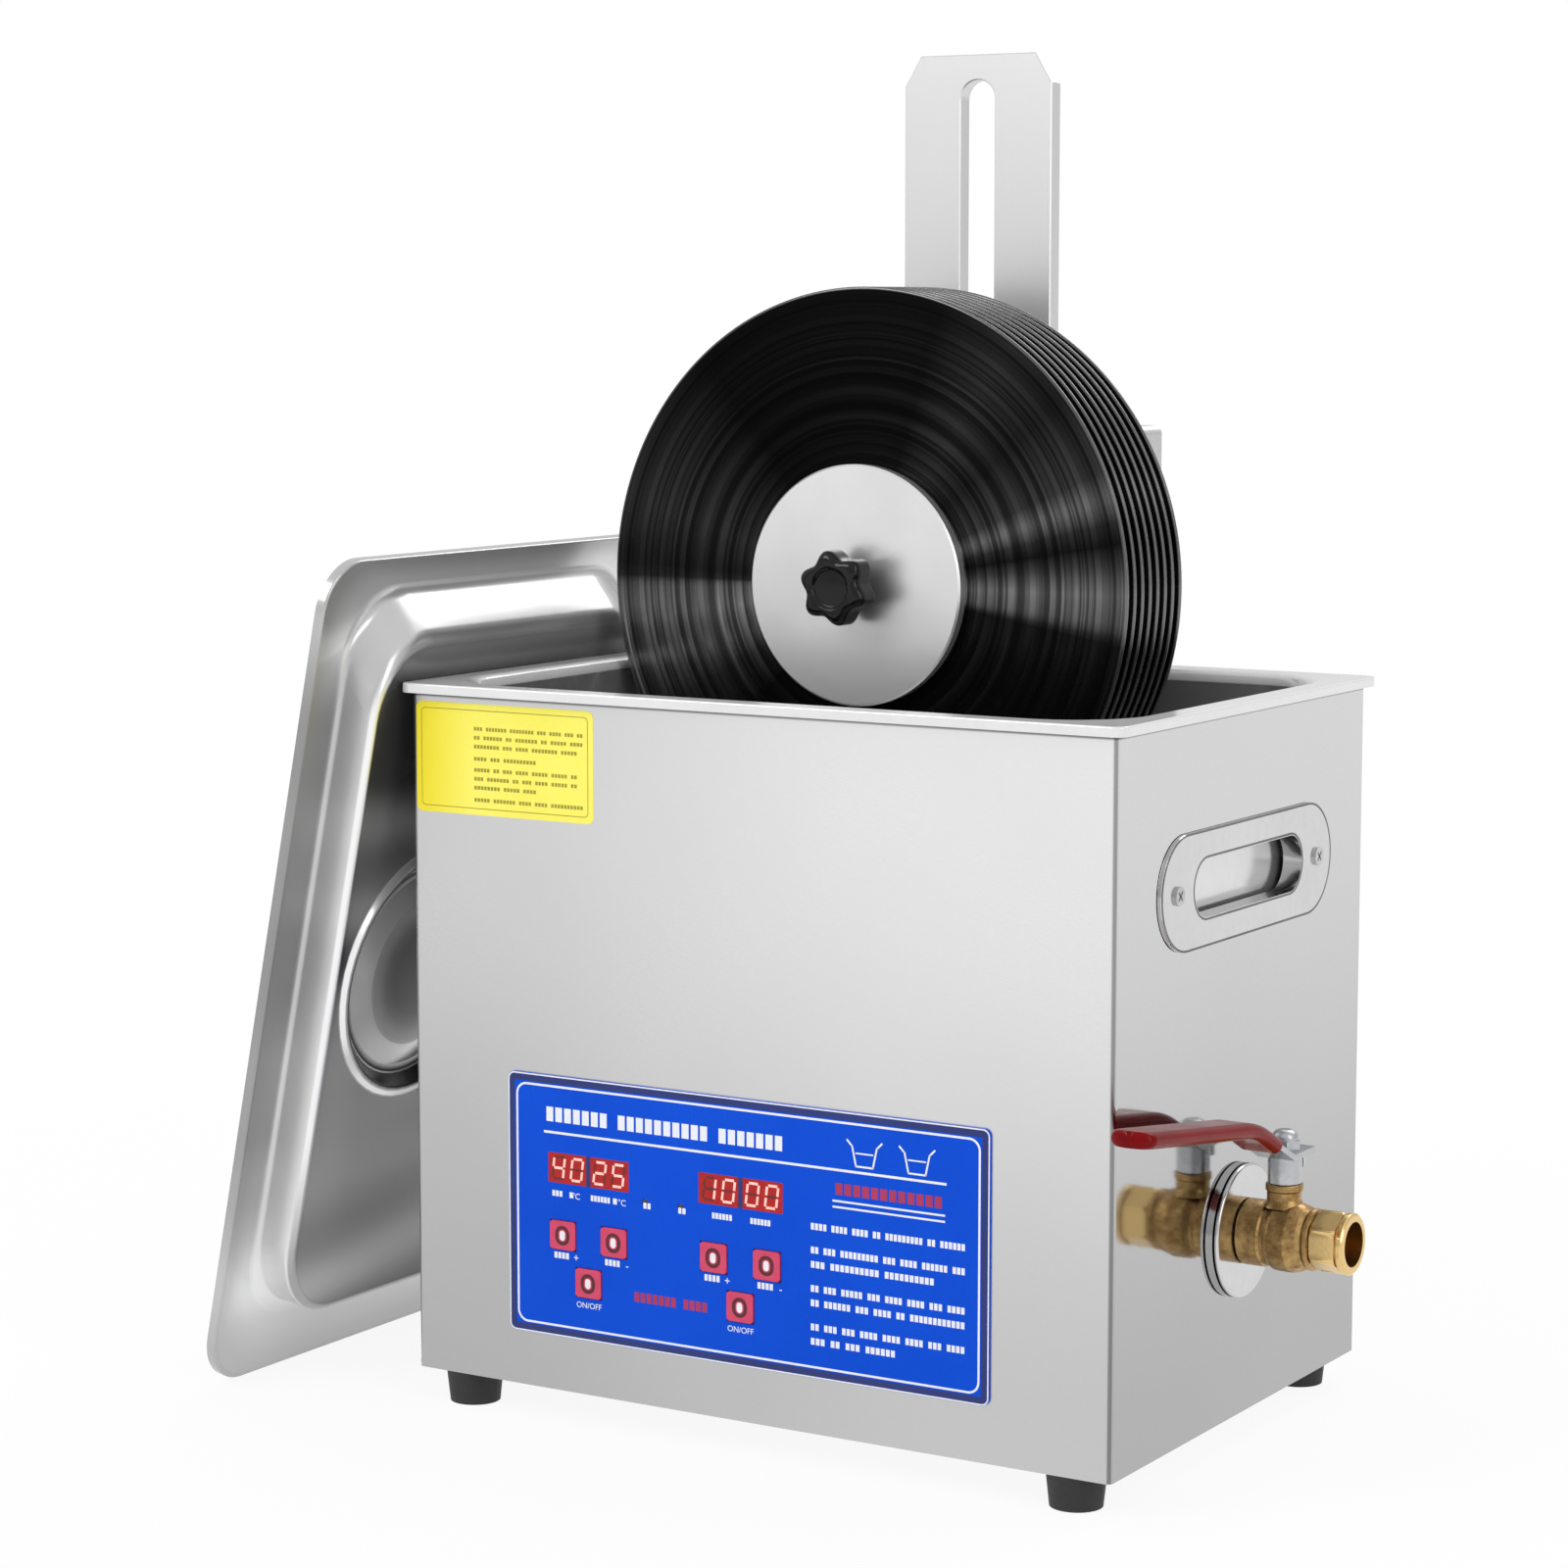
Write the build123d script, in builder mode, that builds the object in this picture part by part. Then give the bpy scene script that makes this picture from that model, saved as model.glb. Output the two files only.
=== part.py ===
from build123d import *
import os
from math import cos, sin, radians, sqrt

os.makedirs("parts", exist_ok=True)

# Record cleaning machine, in mm. The origin is the centre of the casing's underside, +X is the
# side with the drain valve, -Y is the control panel's side and +Z is up.

# Driving dimensions: casing and tank
casing_w = 325.0
casing_d = 230.0
casing_h = 285.0
casing_corner = 2.5
sheet = 1.2
lip_w = 14.0
lip_screw_inset = 62.5
base_t = 1.5
base_gap = 0.3
rim_over = 4.0
rim_h = 4.0
rim_corner = 5.0
hem_t = 1.5
flange_w = 15.0
tank_depth = 150.0
tank_corner = 30.0
tank_bottom_r = 12.0
mouth_r = 4.0

# Driving dimensions: feet and fasteners
foot_h = 14.0
foot_top_r = 12.0
foot_bottom_r = 10.5
foot_recess_r = 4.5
foot_recess_h = 6.0
foot_inset_x = 20.5
foot_inset_y = 12.0
screw_r = 2.0
screw_head_r = 3.8
screw_head_h = 2.4
screw_reach = 3.0
hole_gap = 0.2
vent_l = 40.0
vent_w = 5.0
vent_pitch = 16.0
vent_count = 8

# Driving dimensions: control panel on the front
panel_w = 225.0
panel_h = 108.5
panel_x = -2.0
panel_z = 77.25
panel_t = 1.0
panel_corner = 3.0
button_w = 12.5
button_h = 12.0
button_corner = 1.5
button_edge_r = 0.3
button_gap = 0.25
button_proud = 0.8
button_travel = 0.6
button_collar = 1.2
collar_t = 1.5
heat_offset = 73.0
button_spread = 12.5
button_row_drop = 11.65
switch_row_drop = 30.25
window_w = 39.5
window_h = 12.5
window_t = 1.8
window_rise = 16.25
led_r = 1.5
led_offsets = (-45.4, -28.4)
led_rise = 6.95
board_margin_x = 15.75
board_margin_z = 11.025
board_edge = 5.0
cutout_edge = 3.0
board_t = 1.6
board_back = 12.0
stud_r = 2.5
switch_w = 6.0
switch_h = 4.0
plunger_r = 1.75

# Driving dimensions: carrying handles
handle_w = 158.0
handle_h = 46.0
handle_t = 1.2
handle_edge_r = 0.72
grip_w = 100.0
grip_h = 23.0
grip_depth = 7.0
grip_gap = 0.5
handle_drop = 66.0
handle_screw_inset = 14.0

# Driving dimensions: drain valve on the right-hand side
valve_y = -4.0
valve_z = 76.5
pipe_r = 10.5
pipe_bore_r = 8.0
pipe_bend = 22.0
pipe_grip = 3.5
drain_inset = 40.5
rose_r = 27.0
rose_t = 4.0
rose_groove_w = 0.8
rose_groove_d = 1.2
rose_edge_r = 1.0
locknut_flats = 32.0
locknut_t = 6.0
valve_gap = 0.5
valve_r = 14.5
valve_body_l = 31.0
valve_chamfer = 2.0
valve_neck_l = 6.0
valve_neck_d = 3.0
valve_hex_flats = 26.5
valve_hex_l = 14.5
hex_chamfer = 1.0
outlet_r = 9.0
outlet_l = 14.0
seat_r = 7.0
ball_r = 11.0
ball_bore_r = 6.5
ball_slot_w = 4.0
ball_slot_d = 3.0
stem_offset = 15.5
stem_r = 4.0
stem_tongue_l = 7.0
stem_neck_r = 3.0
boss_r = 7.5
boss_h = 21.5
boss_edge_r = 0.8
gland_r = 6.8
gland_h = 11.0
lever_w = 16.0
lever_t = 2.5
lever_reach = 136.0
lever_tail = 11.5
lever_step_y = 42.0
lever_step_h = 17.0
lever_rise = 13.0
tab_drop = 6.0
sleeve_w = 19.0
sleeve_over = 2.5
sleeve_under = 3.0
sleeve_end = 3.0
sleeve_end_rise = 0.4
sleeve_start = 0.45
nut_flats = 11.0
nut_dome_r = 5.4
nut_dome_edge_r = 3.5
nut_roof = 3.0
lever_nut_h = 8.0
running_gap = 0.05

# Driving dimensions: ultrasonic and heating parts under the tank
horn_top_r = 22.5
horn_tip_r = 17.0
horn_h = 22.0
bolt_reach = 13.2
piezo_r = 19.0
piezo_bore_r = 7.0
piezo_t = 5.0
mass_r = 19.0
mass_h = 18.0
stack_bolt_r = 4.0
stack_pitch_x = 62.0
stack_pitch_y = 96.0
stack_x = -30.0
heater_inset = 1.5
heater_h = 60.0
heater_t = 1.6
heater_rise = 10.0
heater_corner = 6.0

# Driving dimensions: generator
generator_w = 150.0
generator_d = 95.0
generator_inset_x = 42.5
generator_inset_y = 42.5
standoff_r = 4.0
standoff_h = 8.0
standoff_inset = 8.0
sink_w = 60.0
sink_d = 28.0
sink_h = 34.0
sink_inset = 6.0
sink_y = -20.0
sink_web_t = 3.0
fin_t = 2.0
fin_pitch = 6.0
core_w = 36.0
core_d = 30.0
core_h = 26.0
core_inset = 8.0
core_y = 8.0
core_corner = 3.0
coil_over = 3.0
coil_drop = 6.0

# Driving dimensions: fan and rear fittings
fan_w = 60.0
fan_t = 20.0
fan_inset = 74.5
fan_z = 50.0
fan_corner = 4.0
fan_screw_pitch = 50.0
fan_bore_r = 28.0
fan_hub_r = 11.0
fan_pin_r = 1.5
fan_pin_start = 3.0
fan_rotor_gap = 2.0
rotor_end_gap = 1.0
blade_pitch = 53.13
spider_t = 2.0
spider_w = 4.0
spider_bite = 0.5
blade_count = 7
blade_w = 12.0
blade_t = 1.2
blade_clear = 0.5
fan_slot_l = 46.0
fan_slot_w = 4.0
fan_slot_pitch = 8.0
fan_slot_count = 6
rear_z = 45.0
cut_gap = 0.3
inlet_inset = 44.5
inlet_w = 27.0
inlet_h = 20.0
inlet_ear = 11.0
inlet_lip = 2.0
inlet_t = 3.0
inlet_corner = 3.0
inlet_l = 20.0
inlet_wall_x = 1.5
inlet_wall_z = 2.0
inlet_floor = 3.0
inlet_pin_w = 2.0
inlet_pin_h = 4.0
inlet_pin_l = 13.0
inlet_pin_x = 7.0
inlet_pin_z = 2.0
rocker_inset = 96.5
rocker_w = 26.0
rocker_h = 18.0
rocker_lip = 2.0
rocker_lip_t = 1.8
rocker_wall_x = 1.5
rocker_wall_z = 2.0
rocker_housing_l = 20.0
rocker_well = 14.0
rocker_clear_x = 0.5
rocker_clear_z = 0.5
rocker_pin_r = 1.5
rocker_pivot = 3.0
rocker_low = 2.5
rocker_ridge = 8.5
rocker_ridge_in = 2.0
rocker_flat = 5.5
rocker_heel = 4.0
fuse_inset = 132.5
fuse_r = 6.0
fuse_cap_over = 2.5
fuse_cap_t = 6.0
fuse_cap_r = 1.2
fuse_l = 24.0
fuse_slot_l = 8.0
fuse_slot_w = 1.4
fuse_slot_d = 1.2

# Driving dimensions: record rig behind and over the tank
rig_x = -27.0
spindle_over = 37.0
record_r = 125.0
record_t = 2.0
record_hole_r = 3.62
record_count = 8
record_pitch = 7.0
spacer_r = 50.0
spindle_reach = 100.0
end_plate_r = 51.0
end_plate_t = 6.0
end_plate_chamfer = 0.8
spindle_r = 3.5
collar_r = 9.0
collar_l = 6.0
shaft_r = 4.0
post_w = 73.0
post_t = 8.0
post_gap = 1.0
post_below = 99.0
post_h = 362.0
post_edge = 0.5
post_chamfer_x = 8.0
post_chamfer_z = 13.0
slot_w = 17.0
slot_margin = 11.0
slot_below = 11.5
slide_gap = 0.3
hook_t = 4.0
hook_up = 12.0
hook_reach = 22.0
hook_drop = 27.0
hook_edge_r = 1.0
clamp_drop = 53.0
clamp_spread = 22.0
clamp_r = 4.0
clamp_pad_r = 9.0
clamp_pad_t = 2.8
clamp_stand = 4.0
knob_r = 13.0
knob_lobes = 6
lift_screw_r = 3.0
lift_rise = 26.0
lift_stand = 1.5
box_w = 126.0
box_h = 126.0
box_d = 48.0
box_wall = 2.0
box_rise = 1.0
box_corner = 4.0
box_edge_r = 1.0
shaft_hole_gap = 1.0
jack_r = 5.5
jack_l = 12.0
jack_bore_r = 2.75
jack_pin_r = 1.0
jack_bore_l = 10.0
cover_edge_r = 0.8
cover_screw_inset = 7.0
cover_screw_r = 2.8
cover_screw_h = 1.2
jaw_t = 8.0
jaw_up = 40.0
jaw_down = 17.0
jaw_corner = 3.0
cheek_t = 11.0
motor_r = 18.5
motor_rear_r = 17.0
motor_l = 38.0
star_r = 16.0
star_valley_r = 6.5
star_pitch_r = 19.5
star_lobe_r = 1.4
star_edge_r = 2.0
star_head_l = 14.0
star_neck_r = 8.5
star_neck_l = 6.0
star_bore_over = 1.0

# Driving dimensions: lid, leaning on the left-hand side of the rim
lid_over_x = 14.0
lid_over_y = 2.0
lid_clear = 1.5
lid_t = 1.0
lid_hem = 3.5
lid_corner = 14.0
lid_depth = 20.0
lid_edge_r = 3.5
lid_lean = 11.5
lid_front_over = 35.0
dish_r = 49.0
dish_shift = 40.0
dish_depth = 4.0
bail_l = 76.0
bail_w = 14.0
bail_h = 26.0
bail_t = 9.0
bail_corner = 3.0

# Worked-out sizes: casing and tank
rim_top = casing_h + rim_h
wall_top = rim_top - sheet
rim_w = casing_w + 2 * rim_over
rim_d = casing_d + 2 * rim_over
tank_w = rim_w - 2 * flange_w
tank_d = rim_d - 2 * flange_w
tank_floor = rim_top - tank_depth
tank_under = tank_floor - sheet
front_y = -casing_d / 2
side_x = casing_w / 2
inner_side = side_x - sheet
inner_back = casing_d / 2 - sheet
base_w = casing_w - 2 * sheet - 2 * base_gap
base_d = casing_d - 2 * sheet - 2 * base_gap
generator_x = -side_x + generator_inset_x + generator_w / 2
generator_y = front_y + generator_inset_y + generator_d / 2
foot_x = side_x - foot_inset_x
foot_y = casing_d / 2 - foot_inset_y
foot_points = [(x, y) for x in (-foot_x, foot_x) for y in (-foot_y, foot_y)]
lip_screw_x = side_x - lip_screw_inset
lip_screw_y = base_d / 2 - lip_w / 2
lip_points = [(x, y) for x in (-lip_screw_x, 0.0, lip_screw_x) for y in (-lip_screw_y, lip_screw_y)]
generator_points = [
    (generator_x + x * (generator_w / 2 - standoff_inset), generator_y + y * (generator_d / 2 - standoff_inset))
    for x in (-1, 1)
    for y in (-1, 1)
]

# Worked-out sizes: control panel
panel_front = front_y - panel_t
heat_x = panel_x - heat_offset
time_x = panel_x
button_row_z = panel_z - button_row_drop
switch_row_z = panel_z - switch_row_drop
window_z = panel_z + window_rise
led_z = panel_z + led_rise
board_y = front_y + sheet + board_back
cutout_x = (heat_x - window_w / 2 - cutout_edge, time_x + window_w / 2 + cutout_edge)
cutout_z = (
    switch_row_z - button_h / 2 - button_collar - cutout_edge,
    window_z + window_h / 2 + cutout_edge,
)
board_w = cutout_x[1] - cutout_x[0] + 2 * board_margin_x
board_h = cutout_z[1] - cutout_z[0] + 2 * board_margin_z
board_x = (cutout_x[0] + cutout_x[1]) / 2
board_z = (cutout_z[0] + cutout_z[1]) / 2
stud_points = [
    (board_x + x * (board_w / 2 - board_edge), board_z + z * (board_h / 2 - board_edge))
    for x in (-1, 1)
    for z in (-1, 1)
]

# Worked-out sizes: handles, valve and rear fittings
handle_z = casing_h - handle_drop
handle_screw_y = handle_w / 2 - handle_screw_inset
drain_x = side_x - drain_inset
valve_in = side_x + rose_t + valve_gap
valve_out = valve_in + valve_body_l + valve_hex_l
pipe_end = valve_in + pipe_grip
stem_x = valve_in + stem_offset
boss_top = valve_z + boss_h
lever_z = boss_top + gland_h
heater_w = tank_w - 2 * (tank_corner + heater_inset)
fan_x = side_x - fan_inset
inlet_x = inlet_inset - side_x
rocker_x = rocker_inset - side_x
fuse_x = fuse_inset - side_x

# Worked-out sizes: record rig and lid
spindle_z = rim_top + spindle_over
post_front = casing_d / 2 + rim_over + post_gap
post_back = post_front + post_t
post_bottom = rim_top - post_below
post_top = post_bottom + post_h
slot_top = post_top - slot_margin
clamp_z = rim_top - clamp_drop
box_z = spindle_z + box_rise
box_front = post_back + slide_gap
stack_front = post_front - spindle_reach
records_back = stack_front + (record_count - 1) * record_pitch + record_t
back_plate_back = records_back + end_plate_t
plug_w = tank_w - 2 * lid_clear
plug_d = tank_d - 2 * lid_clear
lid_w = rim_w + 2 * lid_over_x
lid_d = rim_d + 2 * lid_over_y
lid_front = front_y - lid_front_over
lean_s = sin(radians(lid_lean))
lean_c = cos(radians(lid_lean))

front_plane = Plane.XZ.offset(-front_y)
back_plane = Plane.XZ.offset(-casing_d / 2)
right_plane = Plane.YZ.offset(side_x)
spindle_axis = Axis((rig_x, 0, spindle_z), (0, 1, 0))


def finish(piece, label):
    """Name a finished piece and write it as its own STEP file."""
    piece.part.label = label
    export_step(piece.part, f"parts/{label}.step")


def across(y, z=spindle_z, x=rig_x):
    """A plane square to Y at the given height, facing the front."""
    return Plane(origin=(x, y, z), x_dir=(1, 0, 0), z_dir=(0, -1, 0))


def ring_edges(piece, z, half_w, half_d):
    """The edges of a level loop at height z that lie inside the given half sizes."""
    level = piece.edges().filter_by_position(Axis.Z, z - 0.01, z + 0.01)
    return level.filter_by(lambda e: abs(e.center().X) < half_w and abs(e.center().Y) < half_d)


def inside_mouth(point):
    """Whether a point lies within the tank's mouth, seen from above."""
    return abs(point.X) < rim_w / 2 - rim_corner and abs(point.Y) < rim_d / 2 - rim_corner


# ---------------------------------------------------------------- casing

with BuildPart() as casing:
    with BuildSketch():
        RectangleRounded(casing_w, casing_d, casing_corner)
        RectangleRounded(casing_w - 2 * sheet, casing_d - 2 * sheet, casing_corner - sheet, mode=Mode.SUBTRACT)
    extrude(amount=wall_top)
    # folded lip that the base plate is screwed to
    with BuildSketch(Plane.XY.offset(base_t)):
        Rectangle(casing_w - sheet, casing_d - sheet)
        Rectangle(casing_w - 2 * lip_w, casing_d - 2 * lip_w, mode=Mode.SUBTRACT)
        with Locations(*lip_points):
            Circle(screw_r - hole_gap, mode=Mode.SUBTRACT)
        with Locations(*foot_points):
            Circle(screw_head_r, mode=Mode.SUBTRACT)
    extrude(amount=sheet)
    # window in the front wall behind the control panel
    with BuildSketch(front_plane):
        with Locations(((cutout_x[0] + cutout_x[1]) / 2, (cutout_z[0] + cutout_z[1]) / 2)):
            Rectangle(cutout_x[1] - cutout_x[0], cutout_z[1] - cutout_z[0])
    extrude(amount=-sheet, mode=Mode.SUBTRACT)
    # studs that carry the control board
    with BuildSketch(Plane.XZ.offset(-front_y - sheet / 2)):
        with Locations(*stud_points):
            Circle(stud_r)
    extrude(amount=-(board_y - front_y - sheet / 2))
    # grip holes in both ends
    with BuildSketch(right_plane):
        with Locations((0, handle_z)):
            SlotOverall(grip_w + 2 * (handle_t + grip_gap), grip_h + 2 * (handle_t + grip_gap))
            with Locations((-handle_screw_y, 0), (handle_screw_y, 0)):
                Circle(screw_r)
    extrude(amount=-casing_w, mode=Mode.SUBTRACT)
    # drain pipe hole
    with BuildSketch(right_plane):
        with Locations((valve_y, valve_z)):
            Circle(pipe_r + hole_gap)
    extrude(amount=-sheet * 2, mode=Mode.SUBTRACT)
    # rear openings: fan slots, mains inlet, switch and fuse
    with BuildSketch(back_plane):
        with Locations((fan_x, fan_z)):
            with GridLocations(0, fan_slot_pitch, 1, fan_slot_count):
                SlotOverall(fan_slot_l, fan_slot_w)
            with GridLocations(fan_screw_pitch, fan_screw_pitch, 2, 2):
                Circle(screw_r)
        with Locations((inlet_x, rear_z)):
            Rectangle(inlet_w + 2 * cut_gap, inlet_h + 2 * cut_gap)
        with Locations((rocker_x, rear_z)):
            Rectangle(rocker_w + 2 * cut_gap, rocker_h + 2 * cut_gap)
        with Locations((fuse_x, rear_z)):
            Circle(fuse_r + hole_gap)
    extrude(amount=sheet * 2, mode=Mode.SUBTRACT)
finish(casing, "casing")

# ---------------------------------------------------------------- tank

with BuildPart() as tank_space:
    with BuildSketch(Plane.XY.offset(tank_floor)):
        RectangleRounded(tank_w, tank_d, tank_corner)
    extrude(amount=tank_depth)
    fillet(tank_space.edges().group_by(Axis.Z)[0], tank_bottom_r)

with BuildPart() as tank_basin:
    with BuildSketch(Plane.XY.offset(wall_top)):
        RectangleRounded(rim_w, rim_d, rim_corner)
    extrude(amount=sheet)
    with BuildSketch(Plane.XY.offset(tank_under)):
        RectangleRounded(tank_w + 2 * sheet, tank_d + 2 * sheet, tank_corner + sheet)
    extrude(amount=tank_depth)
    fillet(tank_basin.edges().group_by(Axis.Z)[0], tank_bottom_r + sheet)
    fillet(ring_edges(tank_basin, wall_top, tank_w / 2 + 2 * sheet, tank_d / 2 + 2 * sheet), mouth_r)
    add(tank_space.part, mode=Mode.SUBTRACT)
    fillet(ring_edges(tank_basin, rim_top, tank_w / 2 + sheet, tank_d / 2 + sheet), mouth_r + sheet)
    # folded hem round the rim
    with BuildSketch(Plane.XY.offset(casing_h)):
        RectangleRounded(rim_w, rim_d, rim_corner)
        RectangleRounded(rim_w - 2 * hem_t, rim_d - 2 * hem_t, rim_corner - hem_t, mode=Mode.SUBTRACT)
    extrude(amount=rim_h - sheet)
    top_edges = tank_basin.edges().group_by(Axis.Z)[-1]
    fillet(top_edges.filter_by(lambda e: not inside_mouth(e.center())), hem_t / 2)
    with BuildSketch(Plane.XY.offset(tank_under)):
        with Locations((drain_x, valve_y)):
            Circle(pipe_bore_r)
    extrude(amount=2 * sheet, mode=Mode.SUBTRACT)
finish(tank_basin, "tank_basin")

# ---------------------------------------------------------------- base, feet and screws

with BuildPart() as base_plate:
    with BuildSketch():
        RectangleRounded(base_w, base_d, casing_corner)
        with Locations(*foot_points, *lip_points):
            Circle(screw_r + hole_gap, mode=Mode.SUBTRACT)
        with Locations((generator_x, generator_y)):
            with GridLocations(vent_pitch, 0, vent_count, 1):
                SlotOverall(vent_l, vent_w, rotation=90, mode=Mode.SUBTRACT)
    extrude(amount=base_t)
    with BuildSketch(Plane.XY.offset(base_t)):
        with Locations(*generator_points):
            Circle(standoff_r)
    extrude(amount=standoff_h)
finish(base_plate, "base_plate")

with BuildPart() as rubber_feet:
    with Locations(*[(x, y, -foot_h) for x, y in foot_points]):
        Cone(foot_bottom_r, foot_top_r, foot_h, align=(Align.CENTER, Align.CENTER, Align.MIN))
    with BuildSketch(Plane.XY.offset(-foot_h)):
        with Locations(*foot_points):
            Circle(foot_recess_r)
    extrude(amount=foot_recess_h, mode=Mode.SUBTRACT)
    with BuildSketch(Plane.XY.offset(-foot_h)):
        with Locations(*foot_points):
            Circle(screw_r + hole_gap)
    extrude(amount=foot_h, mode=Mode.SUBTRACT)
finish(rubber_feet, "rubber_feet")

with BuildPart() as base_screws:
    # foot screws, with their heads in the feet's recesses
    with BuildSketch(Plane.XY.offset(foot_recess_h - foot_h)):
        with Locations(*foot_points):
            Circle(screw_head_r)
    extrude(amount=-screw_head_h)
    with BuildSketch(Plane.XY.offset(foot_recess_h - foot_h)):
        with Locations(*foot_points):
            Circle(screw_r)
    extrude(amount=foot_h - foot_recess_h + base_t + sheet)
    # base plate screws, into the casing's lip
    with BuildSketch():
        with Locations(*lip_points):
            Circle(screw_head_r)
    extrude(amount=-screw_head_h / 2)
    with BuildSketch():
        with Locations(*lip_points):
            Circle(screw_r - hole_gap)
    extrude(amount=base_t + sheet + screw_reach)
finish(base_screws, "base_screws")

# ---------------------------------------------------------------- control panel

button_places = {
    "temp_up_button": (heat_x - button_spread, button_row_z),
    "temp_down_button": (heat_x + button_spread, button_row_z),
    "heater_button": (heat_x, switch_row_z),
    "time_up_button": (time_x - button_spread, button_row_z),
    "time_down_button": (time_x + button_spread, button_row_z),
    "timer_button": (time_x, switch_row_z),
}
window_points = [(heat_x, window_z), (time_x, window_z)]
led_points = [(panel_x + x, led_z) for x in led_offsets]

with BuildPart() as control_panel:
    with BuildSketch(front_plane):
        with Locations((panel_x, panel_z)):
            RectangleRounded(panel_w, panel_h, panel_corner)
        with Locations(*button_places.values()):
            Rectangle(button_w + 2 * button_gap, button_h + 2 * button_gap, mode=Mode.SUBTRACT)
        with Locations(*window_points):
            Rectangle(window_w, window_h, mode=Mode.SUBTRACT)
        with Locations(*led_points):
            Circle(led_r, mode=Mode.SUBTRACT)
    extrude(amount=panel_t)
finish(control_panel, "control_panel")

with BuildPart() as display_windows:
    with BuildSketch(Plane.XZ.offset(-panel_front)):
        with Locations(*window_points):
            Rectangle(window_w, window_h)
    extrude(amount=-window_t)
finish(display_windows, "display_windows")

with BuildPart() as display_modules:
    with BuildSketch(Plane.XZ.offset(-panel_front - window_t)):
        with Locations(*window_points):
            Rectangle(window_w, window_h)
    extrude(amount=-(board_y - panel_front - window_t))
finish(display_modules, "display_modules")

with BuildPart() as indicator_leds:
    with BuildSketch(Plane.XZ.offset(-panel_front)):
        with Locations(*led_points):
            Circle(led_r)
    extrude(amount=-(board_y - panel_front))
    fillet(indicator_leds.edges().group_by(Axis.Y)[0], led_r / 3)
finish(indicator_leds, "indicator_leds")

for button_name, button_place in button_places.items():
    with BuildPart() as button:
        with BuildSketch(Plane.XZ.offset(-panel_front + button_proud)):
            with Locations(button_place):
                RectangleRounded(button_w, button_h, button_corner)
        extrude(amount=-(button_proud + panel_t + slide_gap))
        fillet(button.edges().group_by(Axis.Y)[0], button_edge_r)
        # collar that keeps the cap behind the panel
        with BuildSketch(Plane.XZ.offset(-front_y - slide_gap)):
            with Locations(button_place):
                Rectangle(button_w + 2 * button_collar, button_h + 2 * button_collar)
        extrude(amount=-collar_t)
    finish(button, button_name)

collar_back = front_y + slide_gap + collar_t
plunger_y = collar_back + button_travel + slide_gap
with BuildPart() as button_switches:
    with BuildSketch(Plane.XZ.offset(-board_y)):
        with Locations(*button_places.values()):
            Rectangle(switch_w, switch_w)
    extrude(amount=switch_h)
    with BuildSketch(Plane.XZ.offset(-board_y)):
        with Locations(*button_places.values()):
            Circle(plunger_r)
    extrude(amount=board_y - plunger_y)
finish(button_switches, "button_switches")

with BuildPart() as control_board:
    with BuildSketch(Plane.XZ.offset(-board_y)):
        with Locations((board_x, board_z)):
            Rectangle(board_w, board_h)
    extrude(amount=-board_t)
finish(control_board, "control_board")

# ---------------------------------------------------------------- handles


def make_handle(label, side):
    """A pressed handle plate with its grip hole flanged inwards, on the end at x = side."""
    wall = Plane(origin=(side * side_x, 0, handle_z), x_dir=(0, side, 0), z_dir=(side, 0, 0))
    with BuildPart() as handle:
        with BuildSketch(wall):
            SlotOverall(handle_w, handle_h)
            with Locations((-handle_screw_y, 0), (handle_screw_y, 0)):
                Circle(screw_r + hole_gap, mode=Mode.SUBTRACT)
        extrude(amount=handle_t)
        outer_face = handle.faces().sort_by(Axis.X)[-1 if side > 0 else 0]
        fillet(outer_face.outer_wire().edges(), handle_edge_r)
        with BuildSketch(wall):
            SlotOverall(grip_w + 2 * handle_t, grip_h + 2 * handle_t)
        extrude(amount=-grip_depth)
        with BuildSketch(wall.offset(-grip_depth)):
            SlotOverall(grip_w, grip_h)
        extrude(amount=grip_depth + handle_t, mode=Mode.SUBTRACT)
    finish(handle, label)


make_handle("right_handle", 1)
make_handle("left_handle", -1)

with BuildPart() as handle_screws:
    for side in (-1, 1):
        outer = side * (side_x + handle_t)
        head_plane = Plane(origin=(outer, 0, handle_z), x_dir=(0, side, 0), z_dir=(side, 0, 0))
        with BuildSketch(head_plane):
            with Locations((-handle_screw_y, 0), (handle_screw_y, 0)):
                Circle(screw_head_r)
        extrude(amount=screw_head_h / 2)
        with BuildSketch(head_plane):
            with Locations((-handle_screw_y, 0), (handle_screw_y, 0)):
                Circle(screw_r)
        extrude(amount=-(handle_t + sheet + screw_reach))
finish(handle_screws, "handle_screws")

# ---------------------------------------------------------------- drain valve

valve_axis = Axis((0, valve_y, valve_z), (1, 0, 0))

with BuildPart() as drain_pipe:
    with BuildLine() as drain_path:
        FilletPolyline(
            (drain_x, valve_y, tank_under),
            (drain_x, valve_y, valve_z),
            (pipe_end, valve_y, valve_z),
            radius=pipe_bend,
        )
    with BuildSketch(Plane(origin=(drain_x, valve_y, tank_under), z_dir=(0, 0, -1))):
        Circle(pipe_r)
        Circle(pipe_bore_r, mode=Mode.SUBTRACT)
    sweep(path=drain_path.line)
finish(drain_pipe, "drain_pipe")

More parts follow.
